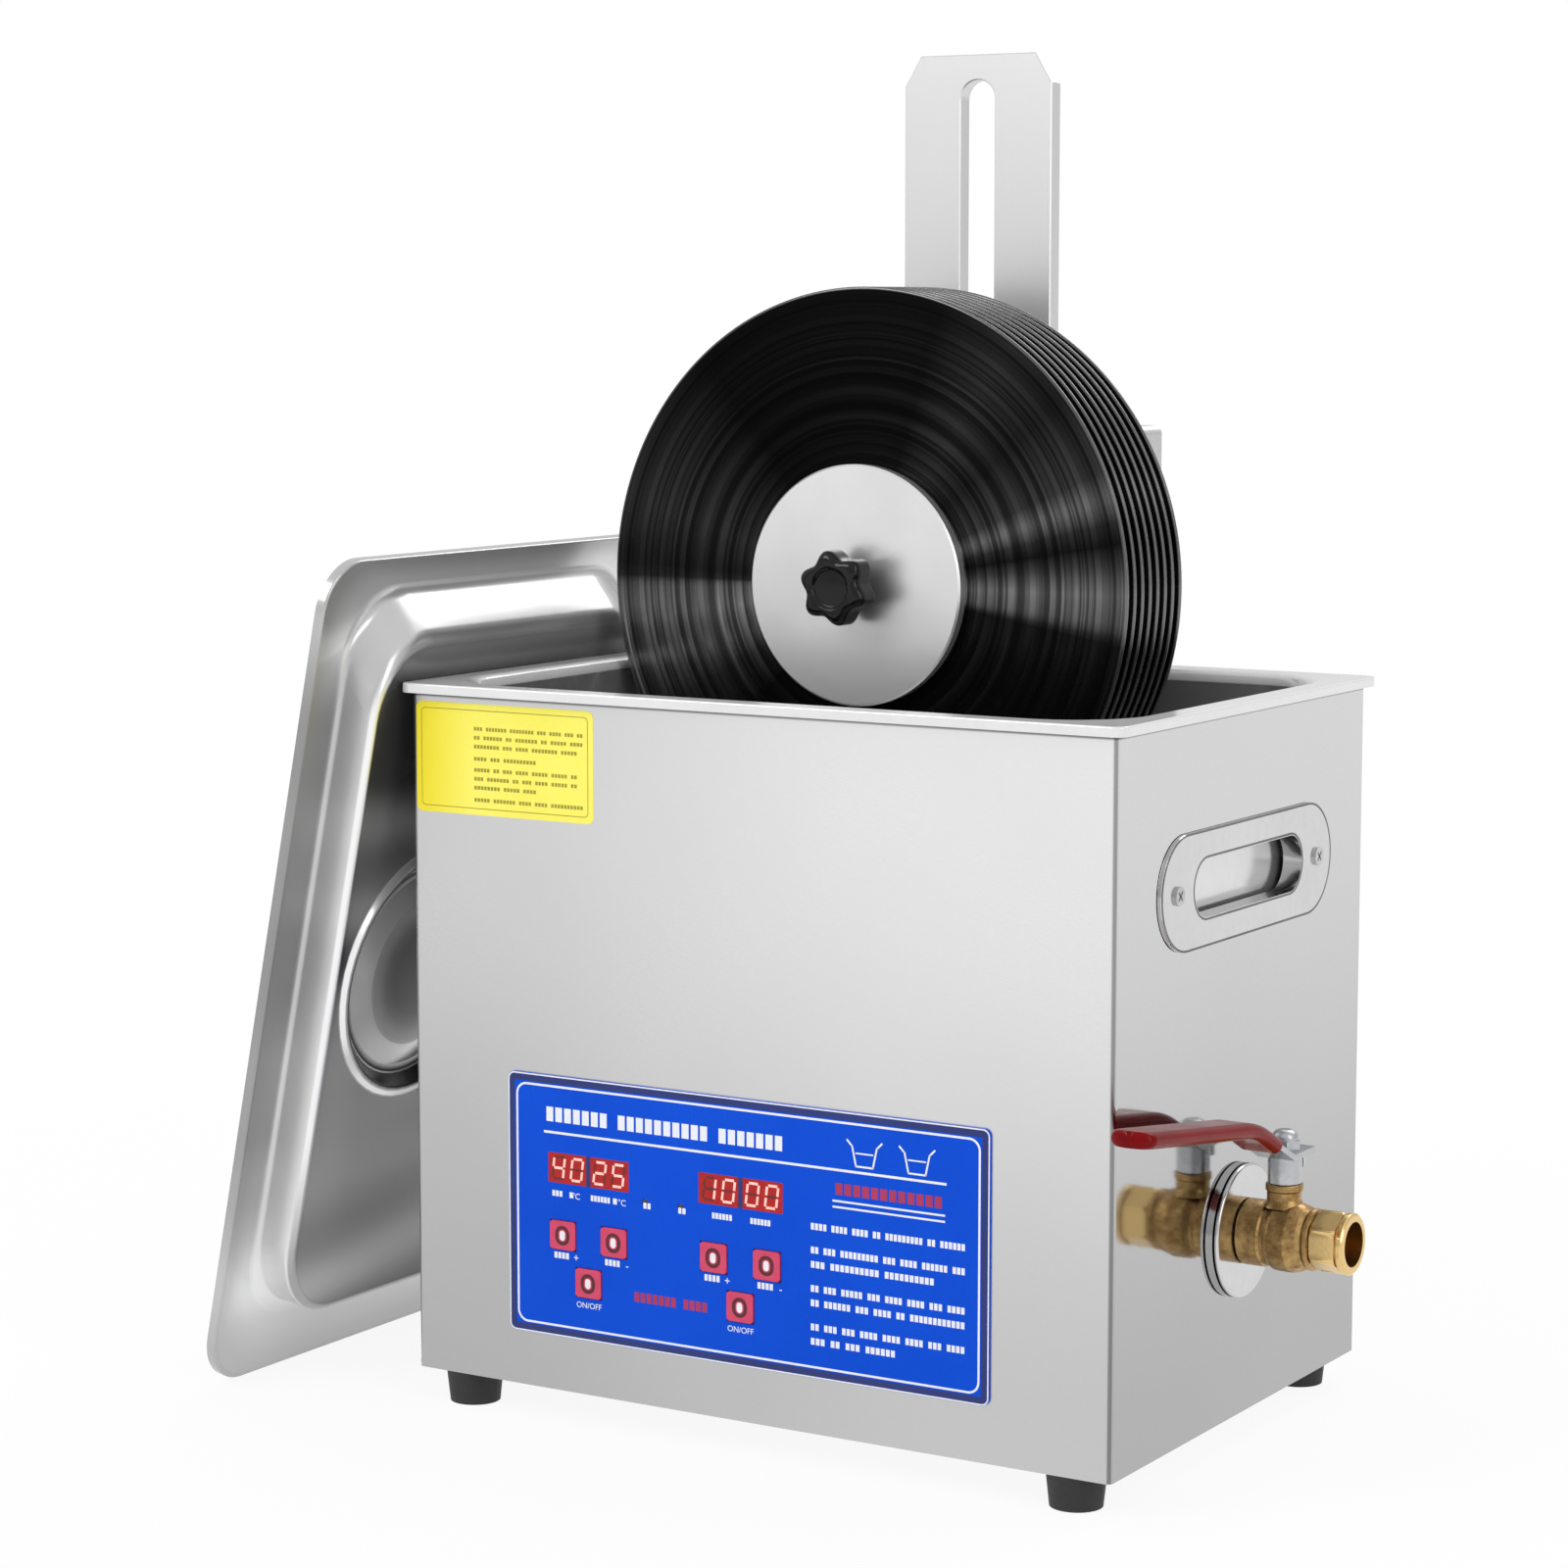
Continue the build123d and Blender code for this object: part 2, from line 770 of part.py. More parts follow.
with BuildPart() as valve_rose:
    with BuildSketch(right_plane):
        with Locations((valve_y, valve_z)):
            Circle(rose_r)
            Circle(pipe_r + running_gap, mode=Mode.SUBTRACT)
    extrude(amount=rose_t)
    # the rose is two washers, with a groove between them
    with BuildSketch(right_plane.offset((rose_t - rose_groove_w) / 2)):
        with Locations((valve_y, valve_z)):
            Circle(rose_r)
            Circle(rose_r - rose_groove_d, mode=Mode.SUBTRACT)
    extrude(amount=rose_groove_w, mode=Mode.SUBTRACT)
    fillet(valve_rose.edges().group_by(Axis.X)[-1].sort_by(SortBy.RADIUS)[-1], rose_edge_r)
finish(valve_rose, "valve_rose")

with BuildPart() as valve_locknut:
    with BuildSketch(Plane.YZ.offset(inner_side)):
        with Locations((valve_y, valve_z)):
            RegularPolygon(locknut_flats / 2, 6, major_radius=False)
            Circle(pipe_r + running_gap, mode=Mode.SUBTRACT)
    extrude(amount=-locknut_t)
finish(valve_locknut, "valve_locknut")

valve_profile = Plane(origin=(0, valve_y, valve_z), x_dir=(1, 0, 0), z_dir=(0, -1, 0))
hex_start = valve_in + valve_body_l
seat_half = sqrt((ball_r + running_gap) ** 2 - seat_r**2)
with BuildPart() as valve_body:
    with BuildSketch(valve_profile):
        with BuildLine():
            Polyline(
                (valve_in, 0),
                (valve_in, valve_r - valve_chamfer),
                (valve_in + valve_chamfer, valve_r),
                (hex_start - valve_neck_l, valve_r),
                (hex_start, valve_r - valve_neck_d),
                (hex_start, 0),
                close=True,
            )
        make_face()
    revolve(axis=valve_axis)
    with BuildSketch(Plane.YZ.offset(hex_start)):
        with Locations((valve_y, valve_z)):
            RegularPolygon(valve_hex_flats / 2, 6, rotation=30, major_radius=False)
    extrude(amount=valve_hex_l)
    chamfer(valve_body.edges().group_by(Axis.X)[-1], hex_chamfer)
    # boss that holds the stem
    with BuildSketch(Plane.XY.offset(valve_z)):
        with Locations((stem_x, valve_y)):
            Circle(boss_r)
    extrude(amount=boss_h)
    fillet(valve_body.edges().group_by(Axis.Z)[-1], boss_edge_r)
    # waterway: inlet socket, seats, ball chamber and outlet
    with BuildSketch(valve_profile):
        with BuildLine():
            Polyline(
                (valve_in, 0),
                (valve_in, pipe_r + running_gap),
                (pipe_end, pipe_r + running_gap),
                (pipe_end, seat_r),
                (stem_x - seat_half, seat_r),
                (stem_x - seat_half, ball_r + running_gap),
                (stem_x + seat_half, ball_r + running_gap),
                (stem_x + seat_half, seat_r),
                (valve_out - outlet_l, seat_r),
                (valve_out - outlet_l, outlet_r),
                (valve_out, outlet_r),
                (valve_out, 0),
                close=True,
            )
        make_face()
    revolve(axis=valve_axis, mode=Mode.SUBTRACT)
    with BuildSketch(Plane.XY.offset(valve_z)):
        with Locations((stem_x, valve_y)):
            Circle(stem_r + running_gap)
    extrude(amount=boss_h, mode=Mode.SUBTRACT)
finish(valve_body, "valve_body")

slot_floor = valve_z + ball_r - ball_slot_d
with BuildPart() as valve_ball:
    with Locations((stem_x, valve_y, valve_z)):
        Sphere(ball_r)
    # waterway, across the pipe while the valve is closed
    with BuildSketch(Plane.XZ.offset(-valve_y - ball_r)):
        with Locations((stem_x, valve_z)):
            Circle(ball_bore_r)
    extrude(amount=2 * ball_r, mode=Mode.SUBTRACT)
    with BuildSketch(Plane.XY.offset(slot_floor)):
        with Locations((stem_x, valve_y)):
            Rectangle(ball_slot_w, 2 * ball_r)
    extrude(amount=ball_r, mode=Mode.SUBTRACT)
finish(valve_ball, "valve_ball")

with BuildPart() as valve_stem:
    with BuildSketch(Plane.XY.offset(slot_floor + running_gap)):
        with Locations((stem_x, valve_y)):
            Rectangle(ball_slot_w - 2 * running_gap, stem_tongue_l)
    extrude(amount=ball_r)
    with BuildSketch(Plane.XY.offset(valve_z + ball_r + running_gap)):
        with Locations((stem_x, valve_y)):
            Circle(stem_r)
    extrude(amount=lever_z - valve_z - ball_r - running_gap)
    with BuildSketch(Plane.XY.offset(boss_top + slide_gap)):
        with Locations((stem_x, valve_y)):
            Circle(gland_r)
    extrude(amount=lever_z - boss_top - slide_gap)
    with BuildSketch(Plane.XY.offset(lever_z)):
        with Locations((stem_x, valve_y)):
            Circle(stem_neck_r)
    extrude(amount=lever_t + lever_nut_h - nut_roof)
finish(valve_stem, "valve_stem")

lever_points = [
    (valve_y + lever_tail, lever_z),
    (valve_y - lever_w / 2, lever_z),
    (valve_y - lever_step_y, lever_z + lever_step_h),
    (valve_y - lever_reach, lever_z + lever_step_h + lever_rise),
]


def lever_strip(points, low, high):
    """A strip seen from the side: the line through the points, from low under it to high over it."""
    with BuildSketch(Plane.YZ.offset(stem_x)) as strip:
        with BuildLine():
            under = [(y, z - low) for y, z in points]
            over = [(y, z + high) for y, z in reversed(points)]
            Polyline(*under, *over, close=True)
        make_face()
    return strip.sketch


strip_sketch = lever_strip(lever_points, 0, lever_t)
with BuildPart() as valve_lever:
    extrude(strip_sketch, amount=lever_w / 2, both=True)
    # tab that meets the boss at the ends of the quarter turn
    with BuildSketch(Plane.XY.offset(lever_z)):
        with Locations((stem_x, valve_y + lever_tail - lever_t / 2)):
            Rectangle(lever_w / 2, lever_t)
    extrude(amount=-tab_drop)
    with BuildSketch(Plane.XY.offset(lever_z)):
        with Locations((stem_x, valve_y)):
            Circle(stem_neck_r)
    extrude(amount=lever_t, mode=Mode.SUBTRACT)
finish(valve_lever, "valve_lever")

sleeve_points = [
    (
        lever_points[1][0] + (lever_points[2][0] - lever_points[1][0]) * sleeve_start,
        lever_points[1][1] + (lever_points[2][1] - lever_points[1][1]) * sleeve_start,
    ),
    lever_points[2],
    (lever_points[3][0] - sleeve_end, lever_points[3][1] + sleeve_end_rise),
]
sleeve_sketch = lever_strip(sleeve_points, sleeve_under, lever_t + sleeve_over)
with BuildPart() as lever_sleeve:
    extrude(sleeve_sketch, amount=sleeve_w / 2, both=True)
    fillet(lever_sleeve.edges().filter_by(Axis.Z).group_by(Axis.Y)[0], sleeve_w / 2 - 1)
    extrude(strip_sketch, amount=lever_w / 2, both=True, mode=Mode.SUBTRACT)
finish(lever_sleeve, "lever_sleeve")

with BuildPart() as lever_nut:
    with BuildSketch(Plane.XY.offset(lever_z + lever_t)):
        with Locations((stem_x, valve_y)):
            RegularPolygon(nut_flats / 2, 6, major_radius=False)
    extrude(amount=lever_nut_h / 2)
    with BuildSketch(Plane.XY.offset(lever_z + lever_t + lever_nut_h / 2)):
        with Locations((stem_x, valve_y)):
            Circle(nut_dome_r)
    extrude(amount=lever_nut_h / 2)
    fillet(lever_nut.edges().group_by(Axis.Z)[-1], nut_dome_edge_r)
    with BuildSketch(Plane.XY.offset(lever_z + lever_t)):
        with Locations((stem_x, valve_y)):
            Circle(stem_neck_r)
    extrude(amount=lever_nut_h - nut_roof, mode=Mode.SUBTRACT)
finish(lever_nut, "lever_nut")

# ---------------------------------------------------------------- transducers and heaters

stack_points = [
    (stack_x + column * stack_pitch_x, row * stack_pitch_y / 2) for column in (-1, 0, 1) for row in (-1, 1)
]
horn_tip = tank_under - horn_h
mass_top = horn_tip - 2 * piezo_t
mass_bottom = mass_top - mass_h

with BuildPart() as transducer_horns:
    with Locations(*[(x, y, horn_tip) for x, y in stack_points]):
        Cone(horn_tip_r, horn_top_r, horn_h, align=(Align.CENTER, Align.CENTER, Align.MIN))
    with BuildSketch(Plane.XY.offset(horn_tip)):
        with Locations(*stack_points):
            Circle(stack_bolt_r)
    extrude(amount=bolt_reach, mode=Mode.SUBTRACT)
finish(transducer_horns, "transducer_horns")

with BuildPart() as piezo_rings:
    with BuildSketch(Plane.XY.offset(horn_tip)):
        with Locations(*stack_points):
            Circle(piezo_r)
            Circle(piezo_bore_r, mode=Mode.SUBTRACT)
    extrude(amount=-2 * piezo_t)
finish(piezo_rings, "piezo_rings")

with BuildPart() as transducer_masses:
    with BuildSketch(Plane.XY.offset(mass_top)):
        with Locations(*stack_points):
            Circle(mass_r)
            Circle(stack_bolt_r, mode=Mode.SUBTRACT)
    extrude(amount=-mass_h)
finish(transducer_masses, "transducer_masses")

with BuildPart() as transducer_bolts:
    with BuildSketch(Plane.XY.offset(mass_bottom)):
        with Locations(*stack_points):
            Circle(2 * stack_bolt_r)
    extrude(amount=-stack_bolt_r)
    with BuildSketch(Plane.XY.offset(mass_bottom)):
        with Locations(*stack_points):
            Circle(stack_bolt_r)
    extrude(amount=mass_h + 2 * piezo_t + bolt_reach)
finish(transducer_bolts, "transducer_bolts")

with BuildPart() as heater_pads:
    for side in (-1, 1):
        with BuildSketch(Plane.XZ.offset(side * (tank_d / 2 + sheet))):
            with Locations((0, tank_floor + tank_bottom_r + heater_rise + heater_h / 2)):
                RectangleRounded(heater_w, heater_h, heater_corner)
        extrude(amount=side * heater_t)
finish(heater_pads, "heater_pads")

# ---------------------------------------------------------------- generator

generator_z = base_t + standoff_h
with BuildPart() as generator_board:
    with BuildSketch(Plane.XY.offset(generator_z)):
        with Locations((generator_x, generator_y)):
            Rectangle(generator_w, generator_d)
    extrude(amount=board_t)
finish(generator_board, "generator_board")

parts_z = generator_z + board_t
with BuildPart() as heatsink:
    with BuildSketch(Plane.XY.offset(parts_z)):
        with Locations((generator_x - generator_w / 2 + sink_w / 2 + sink_inset, generator_y + sink_y)):
            Rectangle(sink_w, sink_web_t)
            with GridLocations(fin_pitch, 0, int(sink_w / fin_pitch), 1):
                Rectangle(fin_t, sink_d)
    extrude(amount=sink_h)
finish(heatsink, "heatsink")

core_point = (generator_x + generator_w / 2 - core_w / 2 - core_inset, generator_y + core_y)
with BuildPart() as transformer:
    with BuildSketch(Plane.XY.offset(parts_z)):
        with Locations(core_point):
            Rectangle(core_w, core_d)
    extrude(amount=core_h)
    fillet(transformer.edges().filter_by(Axis.Z), core_corner)
    with BuildSketch(Plane.XY.offset(parts_z)):
        with Locations(core_point):
            Circle(core_d / 2 + coil_over)
    extrude(amount=core_h - coil_drop)
finish(transformer, "transformer")

# ---------------------------------------------------------------- rear fittings

with BuildPart() as fan_frame:
    with BuildSketch(Plane.XZ.offset(-inner_back)):
        with Locations((fan_x, fan_z)):
            RectangleRounded(fan_w, fan_w, fan_corner)
            Circle(fan_bore_r, mode=Mode.SUBTRACT)
            with GridLocations(fan_screw_pitch, fan_screw_pitch, 2, 2):
                Circle(screw_r, mode=Mode.SUBTRACT)
    extrude(amount=fan_t)
    # spider with the motor's spindle on it
    with BuildSketch(Plane.XZ.offset(-inner_back + fan_t - spider_t)):
        with Locations((fan_x, fan_z)):
            Rectangle(2 * (fan_bore_r + spider_bite), spider_w)
            Rectangle(spider_w, 2 * (fan_bore_r + spider_bite))
            Circle(fan_hub_r)
    extrude(amount=spider_t)
    with BuildSketch(Plane.XZ.offset(-inner_back + fan_pin_start)):
        with Locations((fan_x, fan_z)):
            Circle(fan_pin_r)
    extrude(amount=fan_t - spider_t - fan_pin_start + spider_t / 2)
finish(fan_frame, "fan_frame")

rotor_l = fan_t - spider_t - fan_rotor_gap - rotor_end_gap
with BuildPart() as fan_rotor:
    with BuildSketch(Plane.XZ.offset(-inner_back + fan_rotor_gap)):
        with Locations((fan_x, fan_z)):
            Circle(fan_hub_r)
    extrude(amount=rotor_l)
    # blades, pitched across the bore
    blade_s = sin(radians(blade_pitch))
    blade_c = cos(radians(blade_pitch))
    blade_l = fan_bore_r - fan_hub_r - blade_clear
    blade_middle = fan_hub_r + blade_l / 2 - blade_clear
    for blade in range(blade_count):
        turn = radians(360 / blade_count * blade)
        blade_plane = Plane(
            origin=(fan_x + blade_middle * cos(turn), inner_back - fan_t / 2, fan_z + blade_middle * sin(turn)),
            x_dir=(cos(turn), 0, sin(turn)),
            z_dir=(sin(turn) * blade_s, -blade_c, -cos(turn) * blade_s),
        )
        with BuildSketch(blade_plane):
            Rectangle(blade_l, blade_w)
        extrude(amount=blade_t / 2, both=True)
    with BuildSketch(Plane.XZ.offset(-inner_back + fan_rotor_gap)):
        with Locations((fan_x, fan_z)):
            Circle(fan_pin_r + running_gap)
    extrude(amount=rotor_l, mode=Mode.SUBTRACT)
finish(fan_rotor, "fan_rotor")

with BuildPart() as power_inlet:
    with BuildSketch(back_plane):
        with Locations((inlet_x, rear_z)):
            RectangleRounded(inlet_w + 2 * inlet_ear, inlet_h + 2 * inlet_lip, inlet_corner)
    extrude(amount=-inlet_t)
    with BuildSketch(back_plane):
        with Locations((inlet_x, rear_z)):
            Rectangle(inlet_w, inlet_h)
    extrude(amount=inlet_l)
    with BuildSketch(back_plane.offset(-inlet_t)):
        with Locations((inlet_x, rear_z)):
            Rectangle(inlet_w - 2 * inlet_wall_x, inlet_h - 2 * inlet_wall_z)
    extrude(amount=inlet_l + inlet_t - 2 * inlet_floor, mode=Mode.SUBTRACT)
    with BuildSketch(back_plane.offset(inlet_l - 2 * inlet_floor)):
        with Locations(
            (inlet_x - inlet_pin_x, rear_z - inlet_pin_z),
            (inlet_x, rear_z + inlet_pin_z),
            (inlet_x + inlet_pin_x, rear_z - inlet_pin_z),
        ):
            Rectangle(inlet_pin_w, inlet_pin_h)
    extrude(amount=-inlet_pin_l)
finish(power_inlet, "power_inlet")

rocker_half = rocker_w / 2 - rocker_wall_x - rocker_clear_x
rocker_axis_y = casing_d / 2 - rocker_pivot
with BuildPart() as switch_housing:
    with BuildSketch(back_plane):
        with Locations((rocker_x, rear_z)):
            RectangleRounded(rocker_w + 2 * rocker_lip, rocker_h + 2 * rocker_lip, rocker_lip)
    extrude(amount=-rocker_lip_t)
    with BuildSketch(back_plane):
        with Locations((rocker_x, rear_z)):
            Rectangle(rocker_w, rocker_h)
    extrude(amount=rocker_housing_l)
    with BuildSketch(back_plane.offset(-rocker_lip_t)):
        with Locations((rocker_x, rear_z)):
            Rectangle(rocker_w - 2 * rocker_wall_x, rocker_h - 2 * rocker_wall_z)
    extrude(amount=rocker_well, mode=Mode.SUBTRACT)
    with BuildSketch(Plane.XY.offset(rear_z)):
        with Locations((rocker_x, rocker_axis_y)):
            Circle(rocker_pin_r + running_gap)
    extrude(amount=rocker_h / 2, both=True, mode=Mode.SUBTRACT)
finish(switch_housing, "switch_housing")

with BuildPart() as power_rocker:
    with BuildSketch(Plane.XY.offset(rear_z)):
        with BuildLine():
            Polyline(
                (rocker_x - rocker_half, rocker_axis_y + rocker_low),
                (rocker_x - rocker_half + rocker_ridge_in, rocker_axis_y + rocker_ridge),
                (rocker_x, rocker_axis_y + rocker_flat),
                (rocker_x + rocker_half, rocker_axis_y + rocker_flat),
                (rocker_x + rocker_half, rocker_axis_y),
                (rocker_x, rocker_axis_y - rocker_heel),
                close=True,
            )
        make_face()
    extrude(amount=rocker_h / 2 - rocker_wall_z - rocker_clear_z, both=True)
    # pivot pin
    with BuildSketch(Plane.XY.offset(rear_z)):
        with Locations((rocker_x, rocker_axis_y)):
            Circle(rocker_pin_r)
    extrude(amount=rocker_h / 2 - rocker_clear_z, both=True)
finish(power_rocker, "power_rocker")

with BuildPart() as fuse_holder:
    with BuildSketch(back_plane):
        with Locations((fuse_x, rear_z)):
            Circle(fuse_r + fuse_cap_over)
    extrude(amount=-fuse_cap_t)
    fillet(fuse_holder.edges().group_by(Axis.Y)[-1], fuse_cap_r)
    with BuildSketch(back_plane):
        with Locations((fuse_x, rear_z)):
            Circle(fuse_r)
    extrude(amount=fuse_l)
    with BuildSketch(back_plane.offset(-fuse_cap_t)):
        with Locations((fuse_x, rear_z)):
            Rectangle(fuse_slot_l, fuse_slot_w)
    extrude(amount=fuse_slot_d, mode=Mode.SUBTRACT)
finish(fuse_holder, "fuse_holder")

# ---------------------------------------------------------------- post, hook and rim clamps

post_x = (rig_x - post_w / 2, rig_x + post_w / 2)
slot_bottom = spindle_z - slot_below - slot_w / 2
post_plane = Plane(origin=(0, post_back, 0), x_dir=(1, 0, 0), z_dir=(0, -1, 0))
clamp_points = [(rig_x - clamp_spread, clamp_z), (rig_x + clamp_spread, clamp_z)]

with BuildPart() as slotted_post:
    with BuildSketch(post_plane):
        with BuildLine():
            Polyline(
                (post_x[0], post_bottom),
                (post_x[1], post_bottom),
                (post_x[1], post_top - post_chamfer_z),
                (post_x[1] - post_chamfer_x, post_top),
                (post_x[0] + post_chamfer_x, post_top),
                (post_x[0], post_top - post_chamfer_z),
                close=True,
            )
        make_face()
        with Locations((rig_x, (slot_bottom + slot_top) / 2)):
            SlotOverall(slot_top - slot_bottom, slot_w, rotation=90, mode=Mode.SUBTRACT)
        with Locations(*clamp_points):
            Circle(clamp_r + running_gap, mode=Mode.SUBTRACT)
    extrude(amount=post_t)
    chamfer(slotted_post.edges().group_by(Axis.Y)[0], post_edge)
finish(slotted_post, "slotted_post")

with BuildPart() as rim_hook:
    with BuildSketch(Plane.YZ.offset(rig_x)):
        with BuildLine():
            Polyline(
                (post_front, rim_top),
                (post_front, rim_top + hook_up),
                (post_front - hook_t, rim_top + hook_up),
                (post_front - hook_t, rim_top + hook_t),
                (post_front - hook_reach - hook_t, rim_top + hook_t),
                (post_front - hook_reach - hook_t, rim_top - hook_drop),
                (post_front - hook_reach, rim_top - hook_drop),
                (post_front - hook_reach, rim_top),
                close=True,
            )
        make_face()
    extrude(amount=post_w / 2, both=True)
    fillet(rim_hook.edges().filter_by(Axis.X).sort_by(lambda e: e.center().Y + e.center().Z)[2], hook_edge_r)
finish(rim_hook, "rim_hook")

back_face = casing_d / 2 + slide_gap
knob_front = post_back + clamp_stand


def lobed_knob(radius, lobes):
    """The outline of a hand knob: a disc scalloped by round notches."""
    Circle(radius)
    with PolarLocations(radius * star_pitch_r / star_r, lobes):
        Circle(radius * star_valley_r / star_r, mode=Mode.SUBTRACT)


for clamp_name, clamp_point in zip(("left_rim_clamp", "right_rim_clamp"), clamp_points):
    with BuildPart() as rim_clamp:
        with BuildSketch(across(back_face + clamp_pad_t, clamp_point[1], clamp_point[0])):
            Circle(clamp_pad_r)
        extrude(amount=clamp_pad_t)
        with BuildSketch(across(knob_front, clamp_point[1], clamp_point[0])):
            Circle(clamp_r)
        extrude(amount=knob_front - back_face - clamp_pad_t)
        with BuildSketch(across(knob_front + knob_r, clamp_point[1], clamp_point[0])):
            lobed_knob(knob_r, knob_lobes)
        extrude(amount=knob_r)
    finish(rim_clamp, clamp_name)

# ---------------------------------------------------------------- carriage and motor

jaw_back = post_front - slide_gap
cheek_in = post_w / 2 + slide_gap
jaw_half = cheek_in + cheek_t
jaw_low = spindle_z - jaw_down
jaw_high = spindle_z + jaw_up
lift_z = spindle_z + lift_rise
post_middle = (post_front + post_back) / 2

with BuildPart() as carriage:
    with BuildSketch(Plane.XY.offset(jaw_low)):
        with Locations((rig_x, (jaw_back - jaw_t + box_front) / 2)):
            Rectangle(2 * jaw_half, box_front - jaw_back + jaw_t)
        with Locations((rig_x, (jaw_back + box_front) / 2)):
            Rectangle(2 * cheek_in, box_front - jaw_back, mode=Mode.SUBTRACT)
    extrude(amount=jaw_high - jaw_low)
    fillet(carriage.edges().filter_by(Axis.Z).group_by(Axis.Y)[0], jaw_corner)
    # bush through the slot
    with BuildSketch(across(box_front)):
        Circle(slot_w / 2 - slide_gap)
    extrude(amount=box_front - jaw_back + jaw_t / 2)
    with BuildSketch(across(box_front)):
        Circle(shaft_r + running_gap)
    extrude(amount=box_front - jaw_back + jaw_t, mode=Mode.SUBTRACT)
    # threaded hole for the lift clamp
    with BuildSketch(Plane.YZ.offset(rig_x + cheek_in)):
        with Locations((post_middle, lift_z)):
            Circle(lift_screw_r + running_gap)
    extrude(amount=cheek_t, mode=Mode.SUBTRACT)
finish(carriage, "carriage")

lift_tip = rig_x + cheek_in
lift_knob_x = rig_x + box_w / 2 + lift_stand
with BuildPart() as lift_clamp:
    with BuildSketch(Plane.YZ.offset(lift_tip)):
        with Locations((post_middle, lift_z)):
            Circle(lift_screw_r)
    extrude(amount=lift_knob_x - lift_tip)
    with BuildSketch(Plane.YZ.offset(lift_knob_x)):
        with Locations((post_middle, lift_z)):
            lobed_knob(knob_r, knob_lobes)
    extrude(amount=knob_r)
finish(lift_clamp, "lift_clamp")

box_back = box_front + box_d
with BuildPart() as motor_box:
    with BuildSketch(across(box_back, box_z)):
        RectangleRounded(box_w, box_h, box_corner)
    extrude(amount=box_d)
    with BuildSketch(across(box_back, box_z)):
        RectangleRounded(box_w - 2 * box_wall, box_h - 2 * box_wall, box_corner - box_wall)
    extrude(amount=box_d - box_wall, mode=Mode.SUBTRACT)
    fillet(motor_box.edges().group_by(Axis.Y)[0], box_edge_r)
    with BuildSketch(across(box_front + box_wall)):
        Circle(shaft_r + shaft_hole_gap)
    extrude(amount=box_wall, mode=Mode.SUBTRACT)
    # socket for the low-voltage lead
    jack_z = box_z - box_h / 2
    with BuildSketch(Plane.XY.offset(jack_z)):
        with Locations((rig_x + box_w / 4, box_front + box_d / 2)):
            Circle(jack_r)
    extrude(amount=jack_l)
    with BuildSketch(Plane.XY.offset(jack_z)):
        with Locations((rig_x + box_w / 4, box_front + box_d / 2)):
            Circle(jack_bore_r)
            Circle(jack_pin_r, mode=Mode.SUBTRACT)
    extrude(amount=jack_bore_l, mode=Mode.SUBTRACT)
finish(motor_box, "motor_box")

with BuildPart() as motor_cover:
    with BuildSketch(across(box_back + box_wall, box_z)):
        RectangleRounded(box_w, box_h, box_corner)
    extrude(amount=box_wall)
    fillet(motor_cover.edges().group_by(Axis.Y)[-1], cover_edge_r)
    with BuildSketch(across(box_back + box_wall, box_z)):
        with GridLocations(box_w - 2 * cover_screw_inset, box_h - 2 * cover_screw_inset, 2, 2):
            Circle(cover_screw_r)
    extrude(amount=-cover_screw_h)
finish(motor_cover, "motor_cover")

motor_front = box_front + box_wall
with BuildPart() as gear_motor:
    with BuildSketch(across(motor_front + motor_l)):
        Circle(motor_rear_r)
    extrude(amount=motor_l / 2)
    with BuildSketch(across(motor_front + motor_l / 2)):
        Circle(motor_r)
    extrude(amount=motor_l / 2)
    with BuildSketch(across(motor_front + motor_l / 3)):
        Circle(shaft_r + running_gap)
    extrude(amount=motor_l / 3, mode=Mode.SUBTRACT)
finish(gear_motor, "gear_motor")

# ---------------------------------------------------------------- spindle, records and end plates

shaft_end = motor_front + motor_l / 3 - slide_gap
spindle_front = stack_front - end_plate_t - slide_gap - star_neck_l
with BuildPart() as spindle:
    with BuildSketch(Plane(origin=(rig_x, 0, spindle_z), x_dir=(0, 1, 0), z_dir=(1, 0, 0))):
        with BuildLine():
            Polyline(
                (spindle_front, 0),
                (spindle_front, spindle_r),
                (back_plate_back, spindle_r),
                (back_plate_back, collar_r),
                (back_plate_back + collar_l, collar_r),
                (back_plate_back + collar_l, shaft_r),
                (shaft_end, shaft_r),
                (shaft_end, 0),
                close=True,
            )
        make_face()
    revolve(axis=spindle_axis)
finish(spindle, "spindle")

with BuildPart() as records:
    for number in range(record_count):
        with BuildSketch(across(stack_front + number * record_pitch + record_t)):
            Circle(record_r)
            Circle(record_hole_r, mode=Mode.SUBTRACT)
        extrude(amount=record_t)
    rims = records.edges().filter_by(GeomType.CIRCLE).filter_by(lambda e: e.radius > record_r - 1)
    fillet(rims, record_t / 3)
finish(records, "records")

with BuildPart() as record_spacers:
    for number in range(record_count - 1):
        with BuildSketch(across(stack_front + (number + 1) * record_pitch)):
            Circle(spacer_r)
            Circle(record_hole_r, mode=Mode.SUBTRACT)
        extrude(amount=record_pitch - record_t)
finish(record_spacers, "record_spacers")

for plate_name, plate_back in (("front_end_plate", stack_front), ("back_end_plate", back_plate_back)):
    with BuildPart() as end_plate:
        with BuildSketch(across(plate_back)):
            Circle(end_plate_r)
            Circle(record_hole_r, mode=Mode.SUBTRACT)
        extrude(amount=end_plate_t)
        plate_rims = end_plate.edges().filter_by(GeomType.CIRCLE).filter_by(lambda e: e.radius > spacer_r)
        chamfer(plate_rims, end_plate_chamfer)
    finish(end_plate, plate_name)

